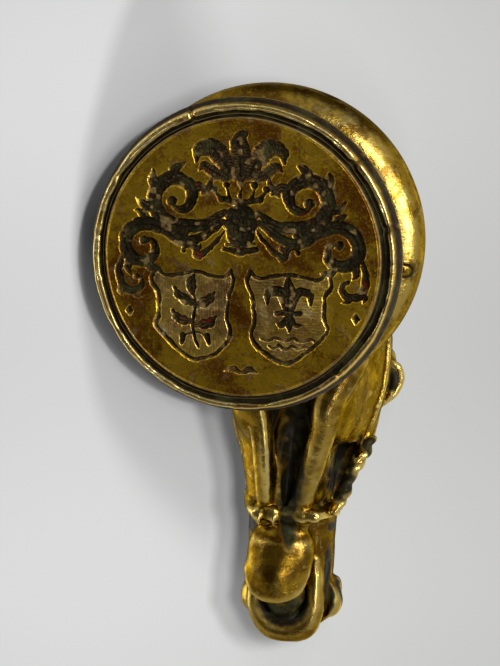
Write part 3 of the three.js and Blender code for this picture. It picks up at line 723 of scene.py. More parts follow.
def plate_rings(angle):
    """Radius, depth, dirt and wear around the field, ring by ring: border, rim, side and back. On the lit
    side the dirt is less and the wear more, as a painted highlight.
    """
    around = [3 * np.cos(angle), 3 * np.sin(angle), 0 * angle]
    slow = lattice_noise(around, 1.1, 3)
    quick = lattice_noise(around, 0.12, 4)
    nick = rim_nicks(angle)
    jagged = lattice_noise(around, 0.3, 8)
    inner = FIELD_RADIUS + 0.04 + 0.05 * slow + 0.02 * quick
    # lit is highest on the lamps' side: the rim is wider there, the groove's middle ridge rises, and its
    # dirt and wear tones paint a highlight.
    lit = 0.5 + 0.5 * np.cos(angle - 0.6)
    rim_in = FACE_RADIUS - RIM_WIDTH + 0.06 - 0.24 * lit
    rim_in += 0.07 * slow - 0.04 * quick + 0.05 * jagged + 0.25 * nick
    middle = inner + (rim_in - inner) * (0.42 + 0.12 * slow)
    deep = BORDER_DEPTH * (0.9 + 0.12 * slow)
    ridge = deep * (0.95 - lit * (0.45 + 0.35 * np.clip(lattice_noise(around, 0.8, 6) + 0.3, 0, 1)))
    rim_out = FACE_RADIUS - 0.07 * np.abs(slow) - 0.05 * np.abs(jagged) - 0.12 * nick
    drop = 0.02 + 0.05 * np.abs(quick) + 0.06 * np.abs(jagged) + 0.42 * nick
    groove = np.clip(2.2 * lattice_noise(around, 0.9, 9) + 0.5, 0, 1)
    line = rim_in + (rim_out - rim_in) * (0.46 + 0.16 * slow)
    half = (rim_in - inner) / 2
    side_r = PLATE_EDGE_RADIUS - 0.04 * np.abs(quick)
    back = PLATE_BACK - PLATE_EDGE_BAND
    shine = np.clip(0.42 + 0.75 * jagged + 0.45 * quick + 0.3 * slow, 0.03, 1)
    worn_off = 0.55 * (1 - shine)
    return [
        (inner - 0.1, 0, 0.2, 0.1), (inner, 0.03, 0.6, 0.1), (inner + half * 0.2, deep * 0.75, 0.95, 0),
        (inner + half * 0.5, deep, 1, 0), (middle - half * 0.14, deep * 0.9, 1, 0),
        (middle, ridge, 1 - 0.4 * lit, 0.25 * lit), (middle + half * 0.2, deep * 0.96, 1, 0),
        (rim_in - half * 0.4, deep, 1, 0), (rim_in - half * 0.14, deep * 0.7, 0.9, 0),
        (rim_in, drop + 0.05, 0.15, shine), (rim_in + 0.06, drop, worn_off, shine),
        (line - 0.06, drop, worn_off, shine),
        (line, drop + 0.1 * groove, 0.85 * groove, shine * (1 - groove)),
        (line + 0.06, drop, worn_off, shine), (rim_out - 0.05, drop + 0.01, 0, shine),
        (rim_out + 0.02, drop + 0.08, 0, shine), (rim_out + 0.1, drop + 0.3, 0.3, 0.2),
        ((rim_out + side_r) / 2, 0.9 + 0.3 * nick, 0.7, 0), (side_r - 0.03, back, 0.6, 0.1),
        (side_r, back + PLATE_EDGE_BAND * 0.3, 0.2, 0.4), (side_r, PLATE_BACK - 0.08, 0.2, 0.2),
        (side_r - 0.06, PLATE_BACK, 0.3, 0), (WAIST_SEAT_RADIUS - 0.1, PLATE_BACK, 1, 0),
        (WAIST_SEAT_RADIUS / 2, PLATE_BACK, 1, 0),
    ]


def make_plate():
    p, q, faces, ring = disc_grid(FACE_CELLS)
    share = (FIELD_RADIUS - DISC_MARGIN) / FIELD_RADIUS
    p, q = p * share, q * share
    depth = engrave_all(p, q)
    x, y = -p * FIELD_RADIUS, q * FIELD_RADIUS
    rough = flat_noise(x, y, 0.35, 21) * 0.5 + flat_noise(x, y, 0.14, 22) * 0.5
    wavy = flat_noise(x, y, 3.0, 23)
    lumps = flat_noise(x, y, 0.7, 24) + 0.6 * flat_noise(x, y, 0.36, 25)
    hollow = smooth_step(0.05, 0.3, depth)
    deep = smooth_step(0.15, 0.4, depth)
    depth = depth * (1 - 0.4 * deep * np.clip(lumps, -0.3, 1)) + 0.07 * hollow * rough
    depth = depth + 0.008 * wavy + 0.008
    points = [np.stack([x, y, np.maximum(depth, 0)], 1)]
    lips = smooth_step(0.02, 0.035, depth) * smooth_step(0.065, 0.045, depth)
    fine = smooth_step(0.1, 0.42, depth) * (1 - 0.2 * deep * np.clip(lumps, 0, 1))
    floor = smooth_step(0.035, 0.075, depth) * smooth_step(0.17, 0.12, depth)
    pale = floor * np.clip(0.26 + 0.13 * lumps + 0.06 * wavy, 0, 1)
    worn = np.maximum.reduce([0.34 * lips, 0.35 * deep * smooth_step(0.5, 0.9, lumps), pale])
    tones = [np.stack([np.maximum(fine, 0.4 * floor), 0.7 * hollow, worn, 0 * depth], 1)]
    angle = np.arctan2(y[ring], x[ring])
    start = len(x)
    previous = ring
    one = np.ones_like(angle)
    for radius, z, dirt_and_shade, wear_and_sheen in plate_rings(angle):
        points.append(np.stack([radius * np.cos(angle), radius * np.sin(angle), z * one], 1))
        tones.append(np.stack([dirt_and_shade * one, dirt_and_shade * one, wear_and_sheen * one, 0 * one], 1))
        current = np.arange(start, start + len(ring))
        band = np.stack([previous, np.roll(previous, -1), np.roll(current, -1), current], 1)
        faces = np.concatenate([faces, band])
        previous = current
        start += len(ring)
    points, tones = np.concatenate(points), np.concatenate(tones)
    faces = facing_out(points, close_cap(faces, previous))
    tones[:, 2] = np.maximum(tones[:, 2], edge_tone(points, faces) * (0.75 - 0.5 * tones[:, 0]))
    plate = mesh_object("engraved_plate", points, faces, tones)
    plate.data.materials.append(FACE_BRASS)
    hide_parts("matrix_plate")
    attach(plate, "root")


def close_cap(faces, ring):
    """Closes a ring with strips of quads between its two halves."""
    half = len(ring) // 2
    k = np.arange(half - 1)
    strips = np.stack([ring[k], ring[k + 1], ring[len(ring) - 2 - k], ring[len(ring) - 1 - k]], 1)
    return np.concatenate([faces, strips])


def facing_out(points, faces):
    """The same faces, turned over if the closed mesh they make is inside out."""
    a, b, c, d = (points[faces[:, k]] for k in range(4))
    volume = (np.einsum("ij,ij->i", a, np.cross(b, c)) + np.einsum("ij,ij->i", a, np.cross(c, d))).sum()
    return faces if volume > 0 else faces[:, ::-1]


def edge_tone(points, faces):
    """How sharply the surface turns outwards at each point, from 0 to 1."""
    a, b, c, d = (points[faces[:, k]] for k in range(4))
    normals = np.cross(c - a, d - b)
    summed = np.zeros_like(points)
    middles = np.zeros_like(points)
    counts = np.zeros(len(points))
    centre = (a + b + c + d) / 4
    for k in range(4):
        np.add.at(summed, faces[:, k], normals)
        np.add.at(middles, faces[:, k], centre)
        np.add.at(counts, faces[:, k], 1)
    length = np.maximum(np.linalg.norm(summed, axis=1), 1e-12)
    above = points - middles / np.maximum(counts, 1)[:, None]
    return smooth_step(0.004, 0.02, np.einsum("ij,ij->i", above, summed / length[:, None]))


# Turned base and the pin that locks it

def arc(radius, height, tube, start, stop, count):
    angles = np.radians(np.linspace(start, stop, count))
    return [(radius + tube * math.cos(a), height + tube * math.sin(a)) for a in angles]


def base_profile(fineness):
    """The base's closed outline as (radius, height) rows, from its seat on the plate outwards."""
    collar = COLLAR_RADIUS - COLLAR_TUBE
    bead = BEAD_RADIUS - BEAD_TUBE
    waist_z = PLATE_BACK + WAIST_HEIGHT
    cove = [
        (WAIST_SEAT_RADIUS - 0.1, PLATE_BACK + 0.8), (12.16, 3.9), (11.97, 5.4), (WAIST_RADIUS, waist_z),
        (12.06, 9.2), (12.36, 10.5), (collar - 0.12, COLLAR_Z - COLLAR_TUBE - 0.1),
    ]
    return [
        (POCKET_RADIUS, PLATE_BACK), (WAIST_SEAT_RADIUS - 0.12, PLATE_BACK),
        (WAIST_SEAT_RADIUS, PLATE_BACK + 0.12), (WAIST_SEAT_RADIUS, PLATE_BACK + 0.6),
        *map(tuple, smooth_curve(cove, fineness)),
        *arc(collar, COLLAR_Z, COLLAR_TUBE, -88, 84, 2 * fineness),
        (12.5, COLLAR_Z + COLLAR_TUBE - 0.05), (SHOULDER_RADIUS + 0.25, BASE_TOP - 2 * BEAD_TUBE - 0.02),
        *arc(bead, BASE_TOP - BEAD_TUBE, BEAD_TUBE, -70, 88, fineness // 2),
        (STUD_HOLE_RADIUS, BASE_TOP), (STUD_HOLE_RADIUS, POCKET_TOP), (POCKET_RADIUS, POCKET_TOP),
    ]


def make_base():
    profile = np.array(base_profile(BASE_FINENESS))
    angle = np.linspace(0, 2 * math.pi, BASE_SIDES, endpoint=False)
    radius, z = np.repeat(profile[:, :1], BASE_SIDES, 1), np.repeat(profile[:, 1:], BASE_SIDES, 1)
    x, y = radius * np.cos(angle), radius * np.sin(angle)
    dents = np.clip(lattice_noise([x, y, z], 2.1, 31) - 0.45, 0, 1) * 0.3
    slow, quick = lattice_noise([x, y, z], 5.0, 32), lattice_noise([x, y, z], 0.5, 33)
    dents += 0.03 * (1 + slow) + 0.006 * (1 + quick)
    dents *= smooth_step(11.0, 13.0, radius) * smooth_step(PLATE_BACK + 1, PLATE_BACK + 3, z)
    dents *= 1 - 0.98 * np.exp(-((radius - COLLAR_RADIUS) / 0.03) ** 2)
    x, y = (radius - dents) * np.cos(angle), (radius - dents) * np.sin(angle)
    index = np.arange(radius.size).reshape(radius.shape)
    below = np.roll(index, -1, 0)
    faces = np.stack([index, np.roll(index, -1, 1), np.roll(below, -1, 1), below], -1).reshape(-1, 4)
    points = np.stack([x, y, z], -1).reshape(-1, 3)
    base = mesh_object("collared_base", points, facing_out(points, faces))
    cutter = pin_rod("pin_hole", PIN_HOLE_RADIUS, 0.0, COLLAR_RADIUS + 2)
    hole = base.modifiers.new("pin_hole", "BOOLEAN")
    hole.operation = "DIFFERENCE"
    hole.solver = "EXACT"
    hole.object = cutter
    bpy.context.view_layer.objects.active = base
    bpy.ops.object.modifier_apply(modifier=hole.name)
    bpy.data.objects.remove(cutter)
    add_base_tones(base)
    base.data.materials.clear()
    base.data.materials.append(TURNED_BRASS)
    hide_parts("turned_base")
    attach(base, "root")


def pin_axis(x, y, z):
    """Distances from the pin's axis and along it."""
    reach = x * math.cos(PIN_ANGLE) + y * math.sin(PIN_ANGLE)
    aside = y * math.cos(PIN_ANGLE) - x * math.sin(PIN_ANGLE)
    return np.hypot(aside, z - PIN_Z), reach


def add_base_tones(base):
    mesh = base.data
    points = np.empty(len(mesh.vertices) * 3, np.float32)
    mesh.vertices.foreach_get("co", points)
    x, y, z = points.reshape(-1, 3).T / MM
    radius = np.hypot(x, y)
    def spot(place, height, wide, tall):
        return np.exp(-np.hypot((radius - place) / wide, (z - height) / tall) ** 2)

    seat = smooth_step(PLATE_BACK + 3.2, PLATE_BACK, z)
    foot = spot(12.5, COLLAR_Z - COLLAR_TUBE - 0.1, 0.9, 0.8)
    crease = spot(10.6, 17.6, 0.8, 0.5)
    neck = spot(9.3, BASE_TOP, 0.5, 0.5)
    away, reach = pin_axis(x, y, z)
    ring = np.exp(-((away - PIN_RADIUS) / 0.32) ** 2) * (reach > 0)
    fine = np.maximum.reduce([seat * 0.8, crease, neck, ring, foot * 0.5])
    under = smooth_step(13.2, 12.3, radius) * smooth_step(12.5, 11.0, z)
    broad = np.maximum.reduce([seat, 0.6 * under, 0.5 * crease])
    # The collar's side towards the window lamps is made paler: partly wear, partly a painted highlight.
    worn_and_sheen_side = np.clip(np.cos(np.arctan2(y, x) - math.radians(168)) * 1.6 - 0.5, 0, 1)
    patchy = lattice_noise([x, y, z], 1.6, 27) + 0.5 * lattice_noise([x, y, z], 0.5, 28)
    worn_and_sheen_side *= smooth_step(12.6, 13.4, radius) * smooth_step(-0.5, 0.3, patchy)
    edge = 0.45 * worn_and_sheen_side * (1 - fine) * smooth_step(15.6, 15.0, radius)
    tones = np.stack([fine, broad, edge, 0 * fine], 1)
    set_tones(mesh, tones)
    mesh.polygons.foreach_set("use_smooth", np.ones(len(mesh.polygons), bool))


def collar_reach(up, sunk):
    """How far out the collar's surface lies at a height above the pin's axis."""
    drop = max((COLLAR_TUBE - sunk) ** 2 - (COLLAR_Z - PIN_Z - up) ** 2, 0.2)
    return math.sqrt(drop) + COLLAR_RADIUS - COLLAR_TUBE


def pin_rod(name, radius, start, stop=None):
    """A rod along the pin's axis. Without a stop it ends in the collar's own surface."""
    rows = [(0.001, start, 0), (radius, start, 0), (radius, stop, 0.1), (radius - 0.05, stop, 0.05)]
    rows += [(radius * 0.6, stop, 0.03), (0.001, stop, 0.02)]
    points = []
    for size, reach, sunk in rows:
        for angle in np.linspace(0, 2 * math.pi, PIN_SIDES, endpoint=False):
            side, up = size * math.cos(angle), size * math.sin(angle)
            out = collar_reach(up, sunk) if reach is None else reach
            x = out * math.cos(PIN_ANGLE) - side * math.sin(PIN_ANGLE)
            y = out * math.sin(PIN_ANGLE) + side * math.cos(PIN_ANGLE)
            points.append((x, y, PIN_Z + up))
    index = np.arange(len(points)).reshape(len(rows), PIN_SIDES)
    quads = np.stack([index[:-1], np.roll(index[:-1], -1, 1), np.roll(index[1:], -1, 1), index[1:]], -1)
    faces = close_cap(close_cap(quads.reshape(-1, 4), index[0]), index[-1][::-1])
    points = np.array(points)
    return mesh_object(name, points, facing_out(points, faces), np.zeros((len(points), 4)))


def make_pin():
    pin = pin_rod("pin_end", PIN_RADIUS, 1.5)
    pin.data.materials.append(TURNED_BRASS)
    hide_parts("lock_pin")
    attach(pin, "root")


# Horse's head. u runs from 0 at the poll to 1 at the front teeth and v is a height above the
# head's axis, both shares of its length, as is the place across.

HEAD_END = 1.02
NECK_END = 0.93
HEAD_BOX = ((-12.4, -53.0, BASE_TOP - 0.5 - HEAD_STEP), (12.6, 16.4, 51.2))
TWIST_STEPS = 14
MANE_LOCKS = 5
LOCK_STRANDS = 4
CREST_NOTCHES = 26
FORELOCK_STRANDS = 5
BOSS_PETALS = 8

TOP = [
    (0, -0.03), (0.08, 0.0), (0.18, 0.014), (0.32, 0.016), (0.45, 0.0), (0.6, -0.036), (0.75, -0.064),
    (0.86, -0.08), (0.93, -0.092), (0.975, -0.12), (1.005, -0.15), (1.02, -0.175),
]
MIDDLE = [
    (0, -0.14), (0.18, -0.13), (0.32, -0.12), (0.45, -0.13), (0.6, -0.15), (0.75, -0.16),
    (0.86, -0.165), (0.93, -0.17), (1.02, -0.19),
]
BOTTOM = [
    (0, -0.3), (0.2, -0.34), (0.4, -0.3), (0.6, -0.28), (0.74, -0.25), (0.84, -0.235), (0.93, -0.225),
    (0.98, -0.225), (1.005, -0.22), (1.02, -0.205),
]
WIDTH = [
    (0, 0.09), (0.1, 0.135), (0.2, 0.158), (0.32, 0.178), (0.42, 0.178), (0.5, 0.16), (0.6, 0.129),
    (0.7, 0.102), (0.78, 0.097), (0.86, 0.096), (0.91, 0.094), (0.955, 0.084), (0.99, 0.068), (1.02, 0.04),
]
LEAN = [(0, 0), (0.55, 0), (0.7, 0.012), (0.86, 0.01), (1.02, 0.004)]
CHIN_RIM = [
    (0.83, -0.034, -0.276), (0.866, -0.02, -0.284), (0.878, 0.026, -0.288), (0.866, 0.07, -0.28),
    (0.83, 0.084, -0.27),
]
NECK_FRONT = [(0, -1), (0.15, -1.02), (0.3, -1.1), (0.5, -0.9), (0.75, -0.4), (0.93, 0.0)]
NECK_BACK = [(0, 1), (0.15, 1.06), (0.4, 1.28), (0.6, 1.28), (0.8, 1.02), (0.93, 0.64)]
NECK_WIDTH = [(0, 1), (0.15, 0.92), (0.4, 0.82), (0.7, 0.72), (0.93, 0.5)]
JAWS = {
    -1: [(0.24, 0.13, -0.33), (0.33, 0.125, -0.37), (0.42, 0.088, -0.378), (0.49, 0.075, -0.36),
         (0.57, 0.053, -0.33), (0.65, 0.032, -0.3), (0.72, 0.026, -0.275)],
    1: [(0.24, 0.125, -0.33), (0.33, 0.118, -0.37), (0.42, 0.072, -0.368), (0.5, 0.058, -0.348),
        (0.58, 0.054, -0.325), (0.65, 0.052, -0.298), (0.72, 0.05, -0.275)],
}
JAW_RADII = {
    -1: [0.03, 0.042, 0.032, 0.028, 0.026, 0.024, 0.016],
    1: [0.03, 0.04, 0.03, 0.025, 0.023, 0.022, 0.016],
}
CHEEK_STRAPS = {
    -1: [(0.13, 0.135, -0.06), (0.22, 0.158, -0.11), (0.32, 0.174, -0.145), (0.43, 0.174, -0.165),
         (0.54, 0.158, -0.185)],
    1: [(0.13, 0.135, -0.06), (0.22, 0.158, -0.1), (0.32, 0.174, -0.12), (0.43, 0.168, -0.132),
        (0.54, 0.139, -0.105)],
}
CORDS = {
    -1: [(0.54, 0.153, -0.19), (0.57, 0.142, -0.207), (0.604, 0.124, -0.225), (0.643, 0.11, -0.24),
         (0.695, 0.09, -0.25)],
    1: [(0.54, 0.139, -0.105), (0.57, 0.13, -0.096), (0.6, 0.119, -0.092), (0.65, 0.104, -0.1),
        (0.7, 0.1, -0.12)],
}
BROWBAND = [
    (0.14, -0.138, -0.07), (0.16, -0.1, -0.012), (0.17, 0, 0.012), (0.16, 0.1, -0.012),
    (0.14, 0.138, -0.07),
]
NOSEBAND = [
    (0.7, 0, -0.058), (0.7, 0.084, -0.085), (0.7, 0.112, -0.15), (0.7, 0.1, -0.225),
    (0.695, 0.068, -0.29), (0.695, 0, -0.3), (0.695, -0.05, -0.292), (0.7, -0.085, -0.225),
    (0.7, -0.092, -0.15), (0.7, -0.068, -0.085), (0.7, 0, -0.058),
]
KEEPER = [(0.672, -0.296), (0.68, -0.314), (0.71, -0.314), (0.718, -0.296)]
LIP = [
    (0.81, -0.054, -0.23), (0.86, -0.057, -0.222), (0.93, -0.053, -0.214), (0.97, -0.033, -0.208),
    (0.984, 0.01, -0.206), (0.97, 0.054, -0.208), (0.93, 0.077, -0.214), (0.86, 0.082, -0.22),
    (0.8, 0.084, -0.224),
]
LIP_CREASE = [(0.8, 0.088, -0.215), (0.86, 0.086, -0.196), (0.93, 0.078, -0.194), (0.98, 0.066, -0.18)]
NOSTRIL_RIM = [
    (0.888, 0.084, -0.15), (0.898, 0.094, -0.12), (0.924, 0.096, -0.106), (0.948, 0.09, -0.122),
    (0.958, 0.09, -0.148), (0.94, 0.1, -0.168), (0.908, 0.096, -0.168), (0.888, 0.084, -0.15),
]
UPPER_LID = [
    (0.392, 0.168, -0.086), (0.412, 0.192, -0.062), (0.444, 0.199, -0.054), (0.476, 0.186, -0.066),
    (0.5, 0.158, -0.096),
]
LOWER_LID = [
    (0.392, 0.168, -0.088), (0.416, 0.19, -0.104), (0.444, 0.194, -0.109), (0.474, 0.18, -0.106),
    (0.502, 0.154, -0.1),
]
LID_CREASE = [(0.39, 0.176, -0.062), (0.42, 0.196, -0.036), (0.46, 0.194, -0.034), (0.5, 0.166, -0.062)]


def on_head(share, side=1):
    u, across, v = share
    return np.array([
        (side * across + u * u * BEND_SHARE) * HEAD_LENGTH,
        POLL_Y - u * HEAD_LENGTH,
        BASE_TOP + POLL_HEIGHT + (v - u * DIP_SHARE) * HEAD_LENGTH,
    ])


def head_place(y, z):
    """The share along the head at y, and at z the height above its axis, in shares of its length."""
    u = (POLL_Y - y) / HEAD_LENGTH
    return u, (z - BASE_TOP - POLL_HEIGHT) / HEAD_LENGTH + DIP_SHARE * u


def path_on_head(shares, side=1):
    return np.array([on_head(share, side) for share in shares])


def neck_section(t):
    """The neck's front, its back and its half width at a share of its height."""
    return (along(rows, t) * NECK_FOOT_RADIUS for rows in (NECK_FRONT, NECK_BACK, NECK_WIDTH))


def resample(points, step):
    """Evenly spaced points along a line of points."""
    gaps = np.linalg.norm(np.diff(points, axis=0), axis=1)
    places = np.concatenate([[0], np.cumsum(gaps)])
    wanted = np.linspace(0, places[-1], max(int(places[-1] / step), 2) + 1)
    return np.stack([np.interp(wanted, places, column) for column in points.T], 1)


class Sculpt:
    """A field of distances on a lattice, worked with smooth joins and cuts."""

    def __init__(self, low, high, step):
        self.low = np.array(low, float)
        self.step = step
        self.lines = [np.arange(a, b + step, step) for a, b in zip(low, high)]
        self.field = np.full([len(line) for line in self.lines], 6.0, np.float32)

    def window(self, low, high):
        """The part of the lattice within a box: slices, and coordinates that broadcast."""
        first = np.floor((np.asarray(low) - self.low) / self.step).astype(int)
        last = np.ceil((np.asarray(high) - self.low) / self.step).astype(int) + 1
        cut = tuple(
            slice(max(a, 0), min(max(b, 0), len(line))) for a, b, line in zip(first, last, self.lines)
        )
        x, y, z = (line[part].astype(np.float32) for line, part in zip(self.lines, cut))
        return cut, x[:, None, None], y[None, :, None], z[None, None, :]

    def everywhere(self):
        return self.window(self.low, [line[-1] for line in self.lines])

    def put(self, cut, shape, blend, away=False):
        if away:
            self.field[cut] = smooth_max(self.field[cut], -shape, blend)
        else:
            self.field[cut] = smooth_min(self.field[cut], shape, blend)

    def bar_field(self, curve, sizes, margin):
        """Distances to a round bar, in the window around it."""
        reach = sizes.max() + margin + 2 * self.step
        cut, x, y, z = self.window(curve.min(0) - reach, curve.max(0) + reach)
        shape = np.full((x.size, y.size, z.size), 9.0, np.float32)
        for a, b, ra, rb in zip(curve[:-1], curve[1:], sizes[:-1], sizes[1:]):
            part, xs, ys, zs = self.window(np.minimum(a, b) - reach, np.maximum(a, b) + reach)
            inner = tuple(slice(n.start - c.start, n.stop - c.start) for n, c in zip(part, cut))
            way = b - a
            px, py, pz = xs - a[0], ys - a[1], zs - a[2]
            t = np.clip((px * way[0] + py * way[1] + pz * way[2]) / max(way @ way, 1e-9), 0, 1)
            d = np.sqrt((px - t * way[0]) ** 2 + (py - t * way[1]) ** 2 + (pz - t * way[2]) ** 2)
            shape[inner] = np.minimum(shape[inner], d - ra - (rb - ra) * t)
        return cut, shape

    def bar(self, points, radii, blend=0.4, away=False, steps=5):
        points = np.asarray(points, float)
        count = (len(points) - 1) * steps + 1
        sizes = np.interp(np.linspace(0, len(points) - 1, count), np.arange(len(points)), radii)
        cut, shape = self.bar_field(smooth_curve(points, count), sizes, blend)
        self.put(cut, shape, blend, away)

    def ball(self, centre, radii, blend=0.5, away=False, full=2.0):
        """A rounded form at a place in the frame, with radii across, along and up.

        full is 2 for an ellipsoid, and more for a blockier form.
        """
        reach = np.array(radii) + blend + 2 * self.step
        cut, x, y, z = self.window(centre - reach, centre + reach)
        p = [np.abs(axis - c) / r for axis, c, r in zip((x, y, z), centre, radii)]
        near = (p[0] ** full + p[1] ** full + p[2] ** full) ** (1 / full)
        slope = np.sqrt(sum((part ** (full - 1) / r) ** 2 for part, r in zip(p, radii)))
        slope = slope / np.maximum(near, 1e-4) ** (full - 1)
        self.put(cut, (near - 1) / np.maximum(slope, 1e-3), blend, away)

    def head_ball(self, share, radii, side=1, blend=0.5, away=False, full=2.0):
        self.ball(on_head(share, side), np.array(radii) * HEAD_LENGTH, blend, away, full)

    def head_bar(self, shares, radii, side=1, blend=0.4, away=False):
        self.bar(path_on_head(shares, side), np.array(radii) * HEAD_LENGTH, blend, away)

    def sample(self, points, field=None):
        """Field values at points, between the lattice's own."""
        field = self.field if field is None else field
        place = (points - self.low) / self.step
        whole = np.clip(np.floor(place).astype(int), 0, np.array(field.shape) - 2)
        part = np.clip(place - whole, 0, 1)
        total = np.zeros(len(points))
        for corner in range(8):
            bits = np.array([(corner >> k) & 1 for k in range(3)])
            weight = np.prod(np.where(bits, part, 1 - part), axis=1)
            total += weight * field[tuple((whole + bits).T)]
        return total

    def slope(self, points):
        """Unit directions out of the surface."""
        ways = []
        for axis in range(3):
            nudge = np.zeros(3)
            nudge[axis] = 0.6
            ways.append(self.sample(points + nudge) - self.sample(points - nudge))
        ways = np.stack(ways, 1)
        return ways / np.maximum(np.linalg.norm(ways, axis=1), 1e-6)[:, None]

    def snap(self, points, rounds=12):
        """The points, moved onto the surface."""
        for _ in range(rounds):
            points = points - 0.7 * self.sample(points)[:, None] * self.slope(points)
        return points

    def skull(self):
        cut, x, y, z = self.everywhere()
        u, v = head_place(y, z)
        held = np.clip(u, 0, HEAD_END)
        sections = (TOP, MIDDLE, BOTTOM, WIDTH, LEAN)
        top, middle, bottom, width, lean = (along(rows, held) for rows in sections)
        aside = np.abs(x / HEAD_LENGTH - BEND_SHARE * u * u - lean)
        over = v - middle
        reach = np.where(over > 0, top - middle, middle - bottom)
        full = np.where(over > 0, 2.3, 2.6)
        shape = ((aside / width) ** full + (np.abs(over) / reach) ** full) ** (1 / full) - 1
        shape = smooth_max(normalised(shape, self.step), (u - HEAD_END) * HEAD_LENGTH, 1.6)
        self.put(cut, smooth_max(shape, -u * HEAD_LENGTH, 2.0), 0.0)

    def neck(self):
        cut, x, y, z = self.everywhere()
        t = (z - BASE_TOP) / POLL_HEIGHT
        front, back, width = neck_section(np.clip(t, 0, NECK_END))
        shape = np.hypot(x / width, (y - (front + back) / 2) / ((back - front) / 2)) - 1
        shape = smooth_max(normalised(shape, self.step), (t - NECK_END) * POLL_HEIGHT, 1.5)
        self.put(cut, shape, 2.4)

    def strap(self, points, half_width, lift, blend=0.25):
        """A flat strap on the surface, with a line cut along its middle."""
        path = self.snap(resample(np.asarray(points), 0.8))
        cut, away = self.bar_field(path, np.full(len(path), 0.01), half_width + 0.6)
        body = self.field[cut]
        raised = smooth_max(body - lift, away - half_width, blend)
        raised = raised + 0.16 * np.exp(-(away / 0.2) ** 2)
        self.field[cut] = smooth_min(body, raised, 0.12)
        return path

    def twist(self, points, radius, pitch, lift=0.35):
        """Two strands twisted about each other, over a core that joins them to the surface."""
        path = resample(np.asarray(points), pitch / TWIST_STEPS)
        out = self.slope(path)
        cut, shape = self.bar_field(path - out * radius * 0.4, np.full(len(path), radius * 0.6), 0.3)
        self.put(cut, shape, 0.3)
        way = np.gradient(path, axis=0)
        way /= np.linalg.norm(way, axis=1)[:, None]
        aside = np.cross(way, out)
        travelled = np.arange(len(path)) * pitch / TWIST_STEPS
        for start in (0, math.pi):
            turn = travelled / pitch * 2 * math.pi + start
            offset = np.cos(turn)[:, None] * out + np.sin(turn)[:, None] * aside
            strand = path + out * lift * radius + offset * radius * 0.42
            cut, shape = self.bar_field(strand, np.full(len(path), radius * 0.62), 0.3)
            self.put(cut, shape, 0.12)
        return path

    def blurred(self, reach):
        """The field, averaged over a distance."""
        size = max(int(round(reach / self.step)), 1)
        field = np.clip(self.field, -4, 4)
        for axis in range(3):
            for _ in range(2):
                field = box_average(field, size, axis)
        return field


def normalised(shape, step):
    """A field that is zero on a surface, scaled to count millimetres near it."""
    slopes = np.gradient(shape, step)
    length = np.sqrt(sum(slope ** 2 for slope in slopes))
    return (shape / np.maximum(length, 0.01)).astype(np.float32)


def box_average(field, size, axis):
    pad = [(0, 0)] * 3
    pad[axis] = (size + 1, size)
    total = np.cumsum(np.pad(field, pad, mode="edge"), axis=axis, dtype=np.float64)
    ahead = [slice(None)] * 3
    behind = [slice(None)] * 3
    ahead[axis] = slice(2 * size + 1, None)
    behind[axis] = slice(0, -(2 * size + 1))
    return ((total[tuple(ahead)] - total[tuple(behind)]) / (2 * size + 1)).astype(np.float32)


def skin_of(sculpt):
    """The surface where the field is zero: one point in each crossed cell, one quad for each edge."""
    field = sculpt.field
    cells = np.array(field.shape) - 1
    strides = np.array([cells[1] * cells[2], cells[2], 1])
    inside = field < 0
    size = int(np.prod(cells))
    sums = np.zeros((3, size))
    counts = np.zeros(size)
    quads = []
    for axis in range(3):
        first, second = [slice(None)] * 3, [slice(None)] * 3
        first[axis], second[axis] = slice(None, -1), slice(1, None)
        first, second = tuple(first), tuple(second)
        crossed = inside[first] != inside[second]
        places = np.stack(np.nonzero(crossed), 1)
        a, b = field[first][crossed], field[second][crossed]
        others = [k for k in range(3) if k != axis]
        whole = np.all((places[:, others] >= 1) & (places[:, others] <= cells[others] - 1), axis=1)
        places, a, b = places[whole], a[whole], b[whole]
        exact = places.astype(float)
        exact[:, axis] += a / (a - b)
        corners = []
        for step_0, step_1 in ((0, 0), (1, 0), (1, 1), (0, 1)):
            cell = places.copy()
            cell[:, others[0]] -= step_0
            cell[:, others[1]] -= step_1
            corners.append(cell @ strides)
        quad = np.stack(corners, 1)
        flat = quad.ravel()
        counts += np.bincount(flat, minlength=size)
        for k in range(3):
            sums[k] += np.bincount(flat, weights=np.repeat(exact[:, k], 4), minlength=size)
        turned = (a < 0) ^ (axis == 1)
        quad[turned] = quad[turned][:, ::-1]
        quads.append(quad)
    used = counts > 0
    number = np.cumsum(used) - 1
    points = sculpt.low + sculpt.step * (sums[:, used] / counts[used]).T
    return points, number[np.concatenate(quads)]


